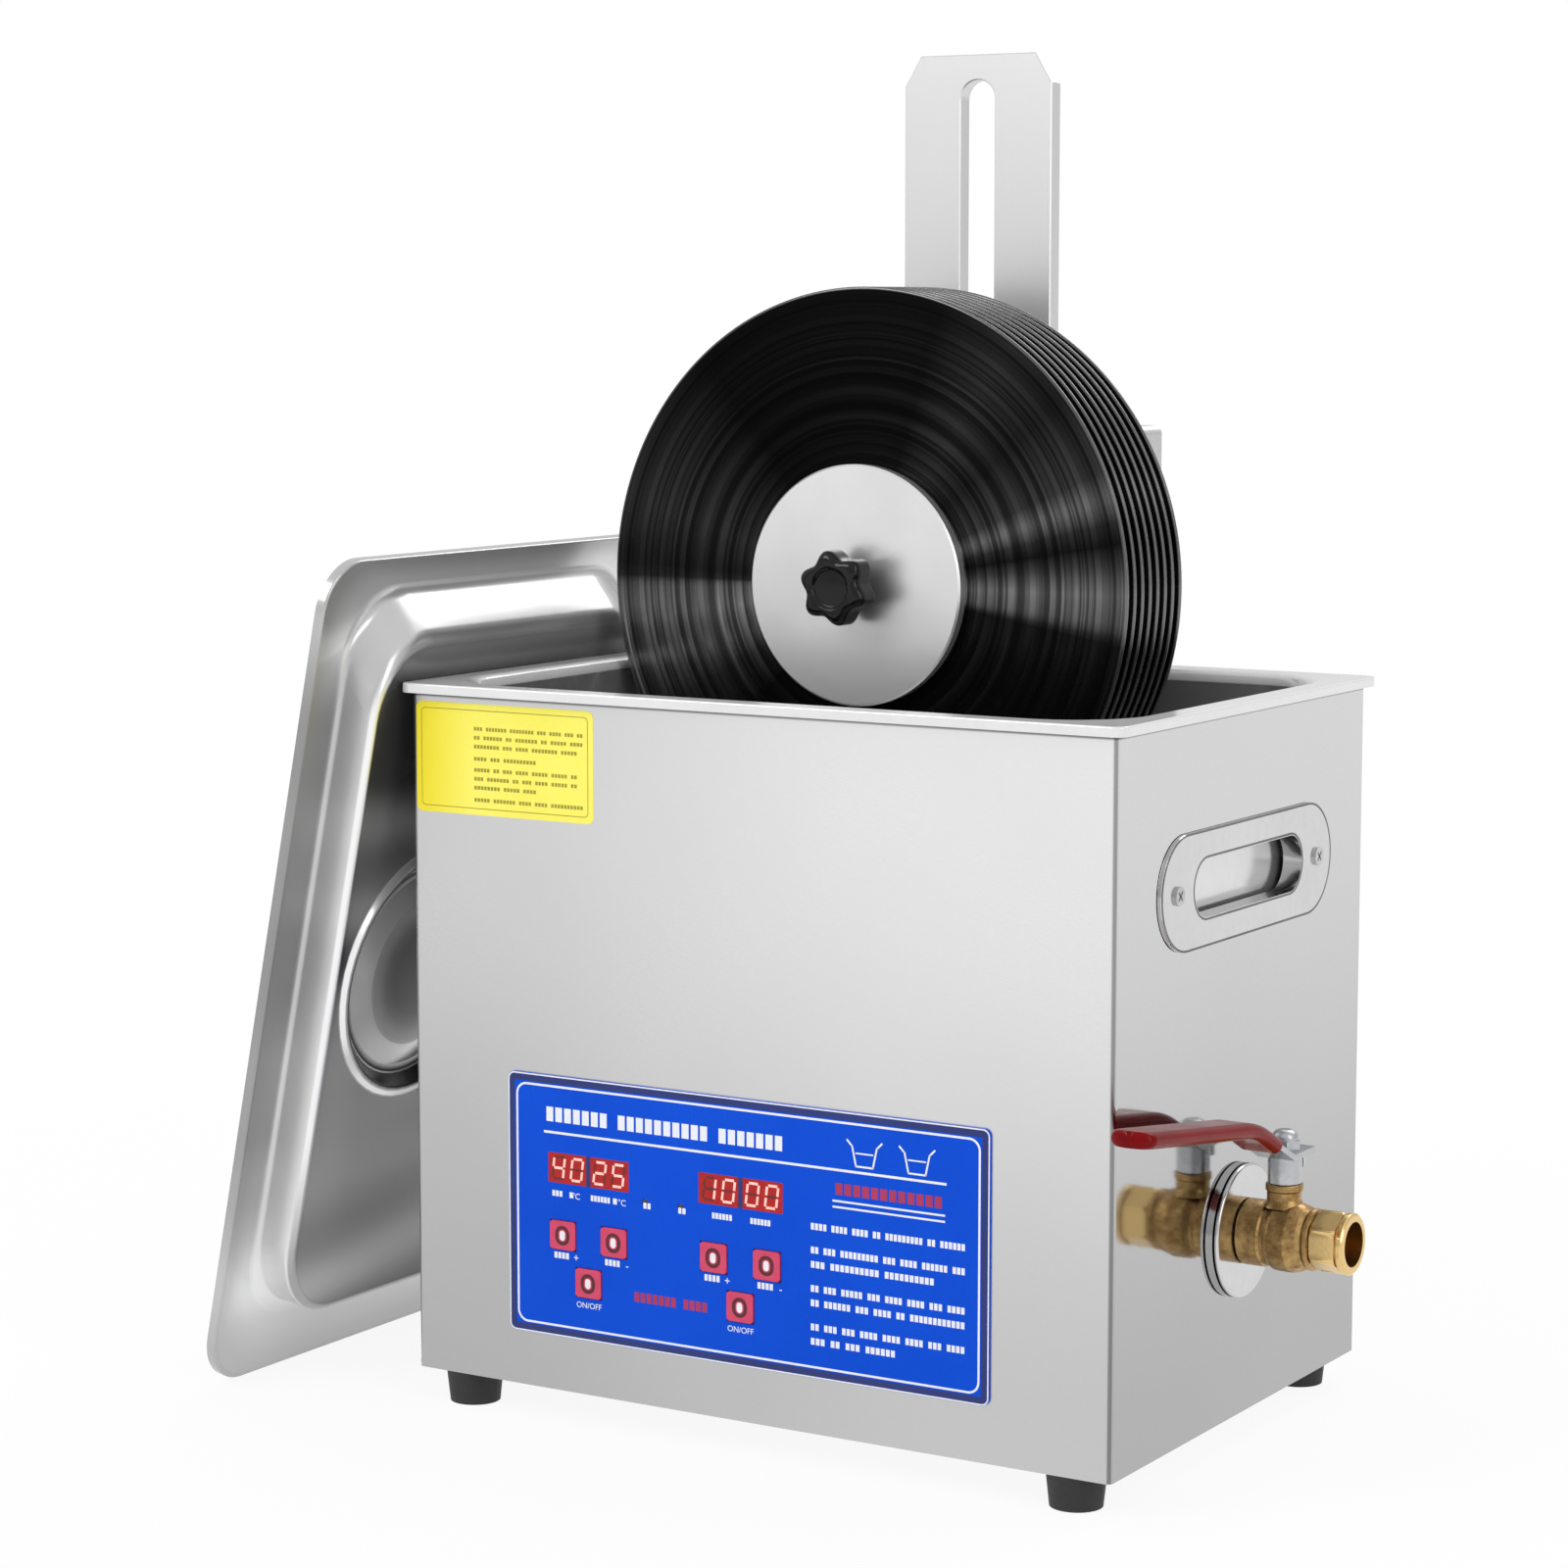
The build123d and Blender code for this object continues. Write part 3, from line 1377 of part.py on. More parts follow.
star_back = stack_front - end_plate_t - slide_gap
with BuildPart() as star_knob:
    with BuildSketch(across(star_back - star_neck_l)):
        lobed_knob(star_r, knob_lobes)
    extrude(amount=star_head_l)
    fillet(star_knob.edges().filter_by(Axis.Y), star_lobe_r)
    fillet(star_knob.edges().group_by(Axis.Y)[0], star_edge_r)
    with BuildSketch(across(star_back)):
        Circle(star_neck_r)
    extrude(amount=star_neck_l)
    with BuildSketch(across(star_back)):
        Circle(spindle_r + running_gap)
    extrude(amount=star_neck_l + slide_gap + star_bore_over, mode=Mode.SUBTRACT)
finish(star_knob, "star_knob")

# ---------------------------------------------------------------- lid

# the lid rests its raised face on the rim's edge; where that face ends lower, its round top edge rests on the side
rim_reach = (rim_top + foot_h + lid_depth * lean_s) / lean_c
plug_top = (lid_w + plug_w) / 2 - lid_edge_r
plug_top_z = plug_top * lean_c - lid_depth * lean_s - foot_h
rest_x = -side_x - rim_over - slide_gap
if plug_top < rim_reach:
    rest_x = -side_x - slide_gap - lid_edge_r * (1 - lean_c) - rim_over * (plug_top_z > casing_h - lid_edge_r)
plug_reach = min(rim_reach, plug_top)
lid_foot_x = rest_x - plug_reach * lean_s - lid_depth * lean_c
lid_plane = Plane(
    origin=(lid_foot_x, lid_front + lid_d / 2, -foot_h),
    x_dir=(0, 1, 0),
    z_dir=(lean_c, 0, -lean_s),
)
lid_middle = (0, lid_w / 2)
dish_middle = (-dish_shift, lid_w / 2)
lid_back_plane = lid_plane.offset(lid_depth - lid_t)


def far_face(piece):
    """The face furthest from the lid's flange, on the side that goes into the tank."""
    return piece.faces().sort_by(lambda f: (f.center() - lid_plane.origin).dot(lid_plane.z_dir))[-1]


with BuildPart() as lid_space:
    with BuildSketch(lid_plane):
        with Locations(lid_middle):
            RectangleRounded(plug_d - 2 * lid_t, plug_w - 2 * lid_t, tank_corner - lid_clear - lid_t)
    extrude(amount=lid_depth - lid_t)
    fillet(far_face(lid_space).outer_wire().edges(), lid_edge_r - lid_t)

with BuildPart() as lid:
    with BuildSketch(lid_plane):
        with Locations(lid_middle):
            RectangleRounded(lid_d, lid_w, lid_corner)
    extrude(amount=lid_t)
    with BuildSketch(lid_plane):
        with Locations(lid_middle):
            RectangleRounded(lid_d, lid_w, lid_corner)
            RectangleRounded(lid_d - 2 * lid_t, lid_w - 2 * lid_t, lid_corner - lid_t, mode=Mode.SUBTRACT)
    extrude(amount=-lid_hem)
    with BuildSketch(lid_plane):
        with Locations(lid_middle):
            RectangleRounded(plug_d, plug_w, tank_corner - lid_clear)
    extrude(amount=lid_depth)
    fillet(far_face(lid).outer_wire().edges(), lid_edge_r)
    add(lid_space.part, mode=Mode.SUBTRACT)
    # round dish behind the handle
    with BuildSketch(lid_back_plane):
        with Locations(dish_middle):
            Circle(dish_r)
    extrude(amount=-dish_depth)
    with BuildSketch(lid_plane.offset(lid_depth)):
        with Locations(dish_middle):
            Circle(dish_r - lid_t)
    extrude(amount=-dish_depth, mode=Mode.SUBTRACT)
finish(lid, "lid")

bail_foot = lid_depth - lid_t - dish_depth
bail_plane = lid_plane.offset(bail_foot)
with BuildPart() as lid_handle:
    with BuildSketch(bail_plane):
        with Locations(*[(dish_middle[0], dish_middle[1] + end * (bail_l - bail_t) / 2) for end in (-1, 1)]):
            Rectangle(bail_w, bail_t)
    extrude(amount=-bail_h)
    with BuildSketch(bail_plane.offset(-bail_h)):
        with Locations(dish_middle):
            RectangleRounded(bail_w, bail_l, bail_corner)
    extrude(amount=-bail_t)
finish(lid_handle, "lid_handle")
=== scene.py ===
from math import atan2, cos, pi, radians, sin, tan, tau

import bmesh
import bpy
import numpy as np
from mathutils import Matrix, Vector


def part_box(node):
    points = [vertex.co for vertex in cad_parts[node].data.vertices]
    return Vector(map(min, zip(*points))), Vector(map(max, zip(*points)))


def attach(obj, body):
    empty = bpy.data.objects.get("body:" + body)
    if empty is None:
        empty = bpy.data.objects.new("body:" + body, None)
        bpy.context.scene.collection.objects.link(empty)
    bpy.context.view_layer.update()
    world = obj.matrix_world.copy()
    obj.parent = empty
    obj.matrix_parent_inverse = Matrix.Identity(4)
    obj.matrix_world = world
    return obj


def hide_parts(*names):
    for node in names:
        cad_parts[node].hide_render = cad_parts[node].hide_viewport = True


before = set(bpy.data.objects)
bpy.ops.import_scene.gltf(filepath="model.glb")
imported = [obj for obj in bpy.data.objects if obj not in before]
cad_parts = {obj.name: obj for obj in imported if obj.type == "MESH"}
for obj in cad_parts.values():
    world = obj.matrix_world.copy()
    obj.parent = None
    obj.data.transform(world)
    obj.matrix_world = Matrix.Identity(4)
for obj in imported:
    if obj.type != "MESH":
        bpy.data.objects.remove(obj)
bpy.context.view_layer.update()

mm = 0.001
weldGap = 1e-6  # corners nearer than this are one corner, in metres
sunk = -0.02  # printed pieces start this far inside what carries them, in millimetres


# surfaces on grids, all lengths in millimetres

def gridFaces(rows, cols):
    # the face at row r, column c joins that corner to the next column, the next row and the diagonal
    corner = np.arange(rows * cols).reshape(rows, cols)
    return np.stack([corner[:-1, :-1], corner[:-1, 1:], corner[1:, 1:], corner[1:, :-1]], -1).reshape(-1, 4)


def link(thing):
    bpy.context.scene.collection.objects.link(thing)


def buildPiece(name, grids, material, body, replaces=(), sharpAngle=38.0):
    # each grid is rows x columns of points; equal corners are welded and the normals turned outwards
    points, faces, around, start = [], [], [], 0
    for grid in grids:
        rows, cols = grid.shape[:2]
        down, across = np.meshgrid(np.linspace(0, 1, rows), np.linspace(0, 1, cols), indexing="ij")
        points.append(grid.reshape(-1, 3))
        faces.append(gridFaces(rows, cols) + start)
        around.append(np.stack([across, down], -1).reshape(-1, 2))
        start += rows * cols
    points, faces, around = map(np.concatenate, (points, faces, around))
    mesh = bpy.data.meshes.new(name)
    mesh.from_pydata((points * mm).tolist(), [], faces.tolist())
    mesh.uv_layers.new(name="around").data.foreach_set("uv", around[faces.reshape(-1)].reshape(-1))
    shell = bmesh.new()
    shell.from_mesh(mesh)
    bmesh.ops.remove_doubles(shell, verts=shell.verts, dist=weldGap)
    bmesh.ops.recalc_face_normals(shell, faces=shell.faces)
    shell.to_mesh(mesh)
    shell.free()
    placePiece(name, mesh, material, body, replaces, sharpAngle)


def placePiece(name, mesh, material, body, replaces=(), sharpAngle=38.0):
    mesh.shade_smooth()
    mesh.set_sharp_from_angle(angle=radians(sharpAngle))
    mesh.materials.clear()
    mesh.materials.append(material)
    piece = bpy.data.objects.new(name, mesh)
    link(piece)
    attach(piece, body)
    if replaces:
        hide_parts(*replaces)


def roundCorners(corners, steps=6, ease=0.12):
    # each corner (a, b, r) becomes an arc of radius r that touches both its sides, with a point just before and after
    corners = [np.array(c, float) for c in corners]
    line = []
    for i, corner in enumerate(corners):
        here, r = corner[:2], corner[2]
        if r <= 0 or i in (0, len(corners) - 1):
            line.append(here)
            continue
        before = corners[i - 1][:2] - here
        after = corners[i + 1][:2] - here
        before, after = before / np.linalg.norm(before), after / np.linalg.norm(after)
        half = np.arccos(np.clip(before @ after, -1, 1)) / 2
        reach = r / tan(half)
        middle = here + (before + after) / np.linalg.norm(before + after) * (r / sin(half))
        first, last = here + before * reach - middle, here + after * reach - middle
        turn = (atan2(last[1], last[0]) - atan2(first[1], first[0]) + pi) % tau - pi
        angle = atan2(first[1], first[0]) + turn * np.linspace(0, 1, steps + 1)
        arc = middle + r * np.stack([np.cos(angle), np.sin(angle)], -1)
        line += [arc[0] + before * ease * r, *arc, arc[-1] + after * ease * r]
    return np.array(line)


def roundRectangle(width, height, corner, steps=10, slack=0.3):
    # four quarter arcs of the corner radius joined by straight sides, always the same number of points
    quarter = np.linspace(0, pi / 2, steps + 1)
    line = []
    for k, (sx, sy) in enumerate(((1, 1), (-1, 1), (-1, -1), (1, -1))):
        centre = np.array([sx * (width / 2 - corner), sy * (height / 2 - corner)])
        angle = quarter + k * pi / 2
        arc = centre + corner * np.stack([np.cos(angle), np.sin(angle)], -1)
        sideBefore, sideAfter = (height, width) if k % 2 == 0 else (width, height)
        back = np.array([sin(angle[0]), -cos(angle[0])]) * min(slack, sideBefore / 2 - corner)
        ahead = np.array([-sin(angle[-1]), cos(angle[-1])]) * min(slack, sideAfter / 2 - corner)
        line += [arc[0] + back, *arc, arc[-1] + ahead]
    return np.array(line + [line[0]])


def loft(sections, steps=10):
    # each section (width, height, corner, depth, x, y) is a rounded rectangle at that depth; zero size closes the end
    rows = []
    for width, height, corner, depth, *centre in sections:
        loop = roundRectangle(width, height, corner, steps) + np.array(centre)
        rows.append(np.column_stack([loop, np.full(len(loop), depth)]))
    return np.array(rows)


def turn(profile, columns=96):
    # the point (r, h) goes once round the axis: (r cos a, r sin a, h)
    r, h = np.array(profile, float).T
    return turnGrid(r[:, None] * np.ones(columns + 1), h)


def turnGrid(radii, heights):
    # radii are rows x angles, one height for each row, and the last angle closes the ring
    angle = np.linspace(0, tau, radii.shape[1])
    tall = np.broadcast_to(np.array(heights, float)[:, None], radii.shape)
    return np.stack([radii * np.cos(angle), radii * np.sin(angle), tall], -1)


def place(grid, origin, x, y, z):
    # the local axes x, y, z of a grid laid along three directions from an origin
    return np.array(origin, float) + grid @ np.array([x, y, z], float)


def onFront(grid, y):
    # the local plane upright on the front: x to the right, y up, z out towards the viewer
    return place(grid, (0, y, 0), (1, 0, 0), (0, 0, 1), (0, -1, 0))


def plate(width, height, corner, x, y, low, high, steps=3):
    # a thin closed plate: its outline at two depths, each closed to its middle
    return loft([(0, 0, 0, low, x, y), (width, height, corner, low, x, y), (width, height, corner, high, x, y),
                 (0, 0, 0, high, x, y)], steps)


def outlinePlate(width, height, corner, line, x, y, low, high, steps=6):
    # a thin closed ring: the outline and its inward offset, each at two depths
    inner = (width - 2 * line, height - 2 * line, max(corner - line, 0.1))
    return loft([(width, height, corner, low, x, y), (width, height, corner, high, x, y), (*inner, high, x, y),
                 (*inner, low, x, y), (width, height, corner, low, x, y)], steps)


def stroke(start, end, width, low, high):
    # a flat bar from one point to another, at two depths
    start, end = np.array(start, float), np.array(end, float)
    along = (end - start) / np.linalg.norm(end - start)
    side = np.array([-along[1], along[0]]) * width / 2
    loop = np.array([start + side, start - side, end - side, end + side, start + side])
    middle = np.broadcast_to((start + end) / 2, loop.shape)
    rows = [np.column_stack([line, np.full(5, depth)])
            for line, depth in ((middle, low), (loop, low), (loop, high), (middle, high))]
    return np.array(rows)


def strip(path, middle, widths, thick, corner):
    # a bar along a line of (y, z): each row is a rounded rectangle across it, wide along x and thick along its normal
    path = np.array(path, float)
    along = np.gradient(path, axis=0)
    along /= np.linalg.norm(along, axis=1)[:, None]
    rows = []
    for point, way, width in zip(path, along, widths):
        loop = roundRectangle(width, thick, min(corner, width / 2 - 0.01), 5, 0.1)
        normal = np.array([-way[1], way[0]]) * np.sign(-way[0])
        rows.append(np.column_stack([middle + loop[:, 0], point + loop[:, 1:] * normal]))
    first, last = [np.broadcast_to(row.mean(0), row.shape) for row in (rows[0], rows[-1])]
    return np.array([first, *rows, last])


def wordBars(words, left, right, y, height, low, high, dash=0.76):
    # a row of upright dashes grouped like words, with no letters: the count of dashes in each word is given
    step = (right - left) / (sum(words) + len(words) - 1)
    bars, wordStart = [], left
    for count in words:
        for k in range(count):
            x = wordStart + (k + 0.5) * step
            bars.append(stroke((x, y), (x, y + height), step * dash, low, high))
        wordStart += (count + 1) * step
    return bars


# finishes

def rgba(tone):
    # a grey is given as one number and a colour as three
    return (*(tone if isinstance(tone, tuple) else (tone,) * 3), 1.0)


def feed(tree, node, socket, source):
    # a socket takes a value, or the output of another node given as (node, output)
    if isinstance(source, tuple) and isinstance(source[0], bpy.types.Node):
        tree.links.new(source[0].outputs[source[1]], node.inputs[socket])
    else:
        node.inputs[socket].default_value = source


def addNode(tree, kind, sockets=None, **settings):
    node = tree.nodes.new("ShaderNode" + kind)
    for key, value in settings.items():
        setattr(node, key, value)
    for socket, source in (sockets or {}).items():
        feed(tree, node, socket, source)
    return node


def newMaterial(name, sockets):
    material = bpy.data.materials.new(name)
    material.use_nodes = True
    tree = material.node_tree
    shader = tree.nodes["Principled BSDF"]
    for socket, value in sockets.items():
        feed(tree, shader, socket, value)
    return material, tree, shader


def reckon(tree, operation, *sources):
    # arithmetic on numbers and on (node, output) pairs
    return addNode(tree, "Math", dict(enumerate(sources)), operation=operation)


def spread(tree, source, low, high, start=0.0, end=1.0, way="SMOOTHSTEP"):
    # a number between low and high becomes one between start and end
    return addNode(tree, "MapRange", {"Value": source, "From Min": low, "From Max": high, "To Min": start,
                                      "To Max": end}, interpolation_type=way)


def mixColours(tree, share, first, second):
    return addNode(tree, "Mix", {0: share, 6: first, 7: second}, data_type="RGBA")


def mixNumbers(tree, share, first, second):
    return addNode(tree, "Mix", {0: share, 2: first, 3: second}, data_type="FLOAT")


def greyRamp(tree, source, stops):
    # a ramp of greys from (position, grey) pairs
    ramp = addNode(tree, "ValToRGB", {0: source})
    marks = ramp.color_ramp.elements
    for k, (position, grey) in enumerate(stops):
        mark = marks[k] if k < 2 else marks.new(position)
        mark.position, mark.color = position, rgba(grey)
    return ramp


def objectAxes(tree):
    return addNode(tree, "SeparateXYZ", {0: (tree.nodes["coords"], "Object")})


def scaleColour(material, *factors):
    # the base colour times the first output of each given node
    tree = material.node_tree
    base = tree.nodes["Principled BSDF"].inputs["Base Color"]
    source = base.links[0].from_socket
    for factor in factors:
        scaled = addNode(tree, "VectorMath", {"Scale": (factor, 0)}, operation="SCALE")
        tree.links.new(source, scaled.inputs[0])
        source = scaled.outputs[0]
    tree.links.new(source, base)


noiseRange = (0.36, 0.64)  # the part of a noise that is spread over the whole change


def makeFinish(name, look):
    # two noises, one fine along the grain and one broad, move the colour, the roughness and the bump
    material, tree, shader = newMaterial(name, {"Metallic": look.get("metal", 0.0), **look.get("shader", {})})
    fineShare = look.get("fineShare", 0.4)
    coords = addNode(tree, "TexCoord", name="coords")
    grain = addNode(tree, "Mapping", {"Vector": (coords, "Object"), "Scale": look.get("grain", (1, 1, 1))})
    fine = addNode(tree, "TexNoise", {"Vector": (grain, 0), "Scale": look["fine"], "Detail": 3.0, "Roughness": 0.6})
    broad = addNode(tree, "TexNoise", {"Vector": (coords, "Object"), "Scale": look["broad"], "Detail": 2.0,
                                       "Roughness": 0.5})
    share = reckon(tree, "MULTIPLY", (broad, "Fac"), 1.0 - fineShare)
    both = reckon(tree, "MULTIPLY_ADD", (fine, "Fac"), fineShare, (share, 0))
    tone = spread(tree, (both, 0), *noiseRange, way="LINEAR")
    colour = mixColours(tree, (tone, 0), rgba(look["base"]), rgba(look["tone"]))
    rough = spread(tree, (both, 0), *noiseRange, *look["rough"], way="LINEAR")
    colour.name, rough.name = "colour", "rough"
    feed(tree, shader, "Base Color", (colour, 2))
    feed(tree, shader, "Roughness", (rough, 0))
    if "bump" in look:
        relief = addNode(tree, "Bump", {"Height": (fine, "Fac"), "Strength": look["bump"],
                                        "Distance": look.get("bumpDepth", 0.00005)}, name="relief")
        feed(tree, shader, "Normal", (relief, 0))
    return material


# base and tone are the two ends of the colour, rough the two ends of the roughness
looks = {
    "casingSteel": dict(
        base=0.90, tone=0.86, rough=(0.27, 0.35), metal=1.0, grain=(1, 1, 9), fine=260.0, broad=7.0, bump=0.05),
    "rimSteel": dict(base=0.76, tone=0.72, rough=(0.13, 0.2), metal=1.0, fine=180.0, broad=16.0, bump=0.03),
    "lidSteel": dict(base=0.64, tone=0.58, rough=(0.2, 0.26), metal=0.6, fine=90.0, broad=9.0),
    "handleSteel": dict(base=0.66, tone=0.61, rough=(0.1, 0.16), metal=1.0, fine=220.0, broad=20.0, bump=0.03),
    "screwSteel": dict(base=0.58, tone=0.48, rough=(0.18, 0.3), metal=1.0, fine=600.0, broad=90.0, bump=0.05),
    "shaftSteel": dict(base=0.68, tone=0.6, rough=(0.14, 0.24), metal=1.0, fine=500.0, broad=60.0, bump=0.04),
    "zincPlate": dict(
        base=(0.56, 0.57, 0.58), tone=(0.46, 0.47, 0.49), rough=(0.22, 0.36), metal=1.0, fine=420.0, broad=60.0,
        bump=0.08, bumpDepth=0.00006),
    "postAluminium": dict(
        base=0.74, tone=0.69, rough=(0.3, 0.36), metal=0.75, grain=(9, 9, 1), fine=240.0, broad=9.0, fineShare=0.2),
    "plateAluminium": dict(
        base=0.86, tone=0.78, rough=(0.3, 0.34), metal=0.85, fine=300.0, broad=22.0, fineShare=0.05),
    "boxAluminium": dict(
        base=(0.70, 0.70, 0.71), tone=(0.63, 0.63, 0.64), rough=(0.3, 0.4), metal=1.0, fine=420.0, broad=15.0,
        bump=0.08),
    "valveBrass": dict(
        base=(0.52, 0.34, 0.14), tone=(0.24, 0.14, 0.05), rough=(0.3, 0.46), metal=1.0, fine=420.0, broad=130.0,
        fineShare=0.5, bump=0.8, bumpDepth=0.0005),
    "turnedBrass": dict(
        base=(0.82, 0.60, 0.28), tone=(0.70, 0.48, 0.2), rough=(0.16, 0.28), metal=1.0, fine=600.0, broad=90.0,
        bump=0.08, bumpDepth=0.00006),
    "redVinyl": dict(
        base=(0.21, 0.001, 0.002), tone=(0.16, 0.0, 0.001), rough=(0.16, 0.24), fine=160.0, broad=40.0,
        shader={"IOR": 1.22}),
    "blackKnob": dict(
        base=0.003, tone=0.005, rough=(0.1, 0.16), fine=300.0, broad=60.0, shader={"Specular IOR Level": 0.3}),
    "blackPlastic": dict(
        base=(0.02, 0.02, 0.021), tone=(0.032, 0.032, 0.033), rough=(0.36, 0.5), fine=900.0, broad=60.0, bump=0.2,
        bumpDepth=0.0001),
    "footRubber": dict(
        base=0.012, tone=0.026, rough=(0.55, 0.75), fine=500.0, broad=80.0, bump=0.3, bumpDepth=0.0002),
    "panelFilm": dict(
        base=(0.003, 0.078, 0.65), tone=(0.002, 0.068, 0.60), rough=(0.26, 0.36), fine=900.0, broad=18.0,
        shader={"Specular IOR Level": 0.08}),
    "panelEdge": dict(base=(0.004, 0.02, 0.17), tone=(0.003, 0.015, 0.13), rough=(0.3, 0.4), fine=900.0, broad=30.0),
    "whiteInk": dict(base=(0.83, 0.85, 0.9), tone=(0.76, 0.79, 0.86), rough=(0.4, 0.5), fine=1500.0, broad=60.0),
    "redInk": dict(base=(0.42, 0.02, 0.10), tone=(0.34, 0.015, 0.08), rough=(0.4, 0.5), fine=1500.0, broad=60.0),
    "windowRed": dict(
        base=(0.46, 0.010, 0.007), tone=(0.36, 0.006, 0.005), rough=(0.14, 0.2), fine=500.0, broad=240.0,
        shader={"Specular IOR Level": 0.3}),
    "segmentDim": dict(
        base=(0.17, 0.002, 0.003), tone=(0.11, 0.002, 0.002), rough=(0.2, 0.3), fine=900.0, broad=240.0),
    "segmentLit": dict(
        base=(0.95, 0.62, 0.56), tone=(0.9, 0.42, 0.36), rough=(0.25, 0.35), fine=900.0, broad=300.0,
        shader={"Emission Color": (1.0, 0.5, 0.44, 1.0), "Emission Strength": 0.2}),
    "buttonPink": dict(
        base=(0.66, 0.05, 0.13), tone=(0.58, 0.035, 0.10), rough=(0.3, 0.42), fine=900.0, broad=120.0, bump=0.08),
    "buttonRing": dict(
        base=(0.10, 0.003, 0.012), tone=(0.07, 0.002, 0.008), rough=(0.3, 0.4), fine=900.0, broad=120.0),
    "buttonDot": dict(base=(0.88, 0.86, 0.88), tone=(0.8, 0.76, 0.8), rough=(0.3, 0.4), fine=900.0, broad=120.0),
    "ledLens": dict(
        base=(0.02, 0.01, 0.06), tone=(0.03, 0.012, 0.05), rough=(0.1, 0.2), fine=900.0, broad=200.0,
        shader={"Coat Weight": 0.5}),
    "stickerYellow": dict(
        base=(0.93, 0.86, 0.13), tone=(0.90, 0.82, 0.10), rough=(0.34, 0.44), fine=700.0, broad=25.0, bump=0.05),
    "stickerOlive": dict(
        base=(0.36, 0.32, 0.02), tone=(0.30, 0.26, 0.015), rough=(0.45, 0.55), fine=900.0, broad=60.0),
    "boardGreen": dict(
        base=(0.012, 0.13, 0.05), tone=(0.008, 0.09, 0.035), rough=(0.3, 0.45), fine=300.0, broad=60.0, bump=0.1,
        bumpDepth=0.0002),
    "ironCore": dict(
        base=(0.16, 0.16, 0.165), tone=0.1, rough=(0.45, 0.6), metal=0.8, grain=(1, 1, 20), fine=120.0, broad=40.0,
        bump=0.3, bumpDepth=0.0002),
    "firedCeramic": dict(
        base=(0.52, 0.47, 0.36), tone=(0.45, 0.4, 0.3), rough=(0.4, 0.6), fine=400.0, broad=50.0, bump=0.15,
        bumpDepth=0.0002),
    "orangeSilicone": dict(
        base=(0.62, 0.16, 0.03), tone=(0.52, 0.12, 0.02), rough=(0.5, 0.65), fine=500.0, broad=30.0, bump=0.3,
        bumpDepth=0.0002),
    # painted shade: the dark of the rolled handle edges and of the screw slots
    "paintedShade": dict(base=0.12, tone=0.08, rough=(0.3, 0.4), fine=400.0, broad=40.0),
}
looks["roseSteel"] = looks["handleSteel"]
finish = {name: makeFinish(name, look) for name, look in looks.items()}

stickerFade = dict(x=(-0.160, -0.128), deep=(0.86, 0.72, 0.01))


def fadeSticker(material, d):
    # deeper yellow towards the left end, from the object's own x
    tree = material.node_tree
    fade = spread(tree, (objectAxes(tree), "X"), *d["x"])
    mix = mixColours(tree, (fade, 0), rgba(d["deep"]), (tree.nodes["colour"], 2))
    feed(tree, tree.nodes["Principled BSDF"], "Base Color", (mix, 2))


# each entry gives where the change starts and ends, in metres, and the two tones where they aren't 0 and 1
# painted light and shade on the casing: lighter upwards and to the right, a darker right side, a painted shadow along
# the corner fold and painted shade under the rim
casingPaintedLight = dict(side=(0.1615, 0.1622), sidePaintedShade=0.26, sideRough=0.07, foldX=(0.1604, 0.1613),
                   foldY=(-0.1134, -0.1142), foldPaintedShade=0.6, rise=(0.0, 0.285, 0.66, 0.98),
                   across=(-0.17, 0.10, 0.80, 1.0), underRimPaintedShade=(0.2832, 0.2842, 1.0, 0.3))


def paintCasingLight(material, d):
    # painted light and shade: the front painted lighter towards the top and the right, the right side painted darker
    # as a smoother mirror, a painted shadow line along the fold at their corner, and painted shade on the casing's
    # top band just under the rim
    tree = material.node_tree
    axes = objectAxes(tree)
    side = spread(tree, (axes, "X"), *d["side"])
    foldX, foldY = spread(tree, (axes, "X"), *d["foldX"]), spread(tree, (axes, "Y"), *d["foldY"])
    fold = reckon(tree, "MINIMUM", (foldX, 0), (foldY, 0))
    scaleColour(material, spread(tree, (axes, "Z"), *d["rise"]), spread(tree, (axes, "X"), *d["across"]),
                reckon(tree, "MULTIPLY_ADD", (side, 0), -d["sidePaintedShade"], 1.0),
                reckon(tree, "MULTIPLY_ADD", (fold, 0), -d["foldPaintedShade"], 1.0),
                spread(tree, (axes, "Z"), *d["underRimPaintedShade"]))
    smooth = mixNumbers(tree, (side, 0), (tree.nodes["rough"], 0), d["sideRough"])
    feed(tree, tree.nodes["Principled BSDF"], "Roughness", (smooth, 0))


# painted highlight: the rim's lip is made less metallic above this height
rimLipHighlight = dict(z=(0.2838, 0.2846), metal=(0.8, 0.2))


def paintRimHighlight(material, d):
    # painted highlight: the lip is made far less metallic so it shows bright and nearly white, the walls below it a
    # soft grey
    tree = material.node_tree
    lip = spread(tree, (objectAxes(tree), "Z"), *d["z"], *d["metal"])
    feed(tree, tree.nodes["Principled BSDF"], "Metallic", (lip, 0))


# painted shade in the rose's groove
roseGrooveShade = dict(x=0.1645, half=0.0005, dark=0.97)


def shadeRoseGroove(material, d):
    # painted shade: a dark line painted round the rose where its edge meets its face, the shade of that crease
    tree = material.node_tree
    groove = reckon(tree, "COMPARE", (objectAxes(tree), "X"), d["x"], d["half"])
    scaleColour(material, reckon(tree, "MULTIPLY_ADD", (groove, 0), -d["dark"], 1.0))


turnedEnd = dict(x=198.0, blend=0.4, colour=(0.80, 0.56, 0.24), rough=0.22, castBump=0.6, turnedBump=0.08)


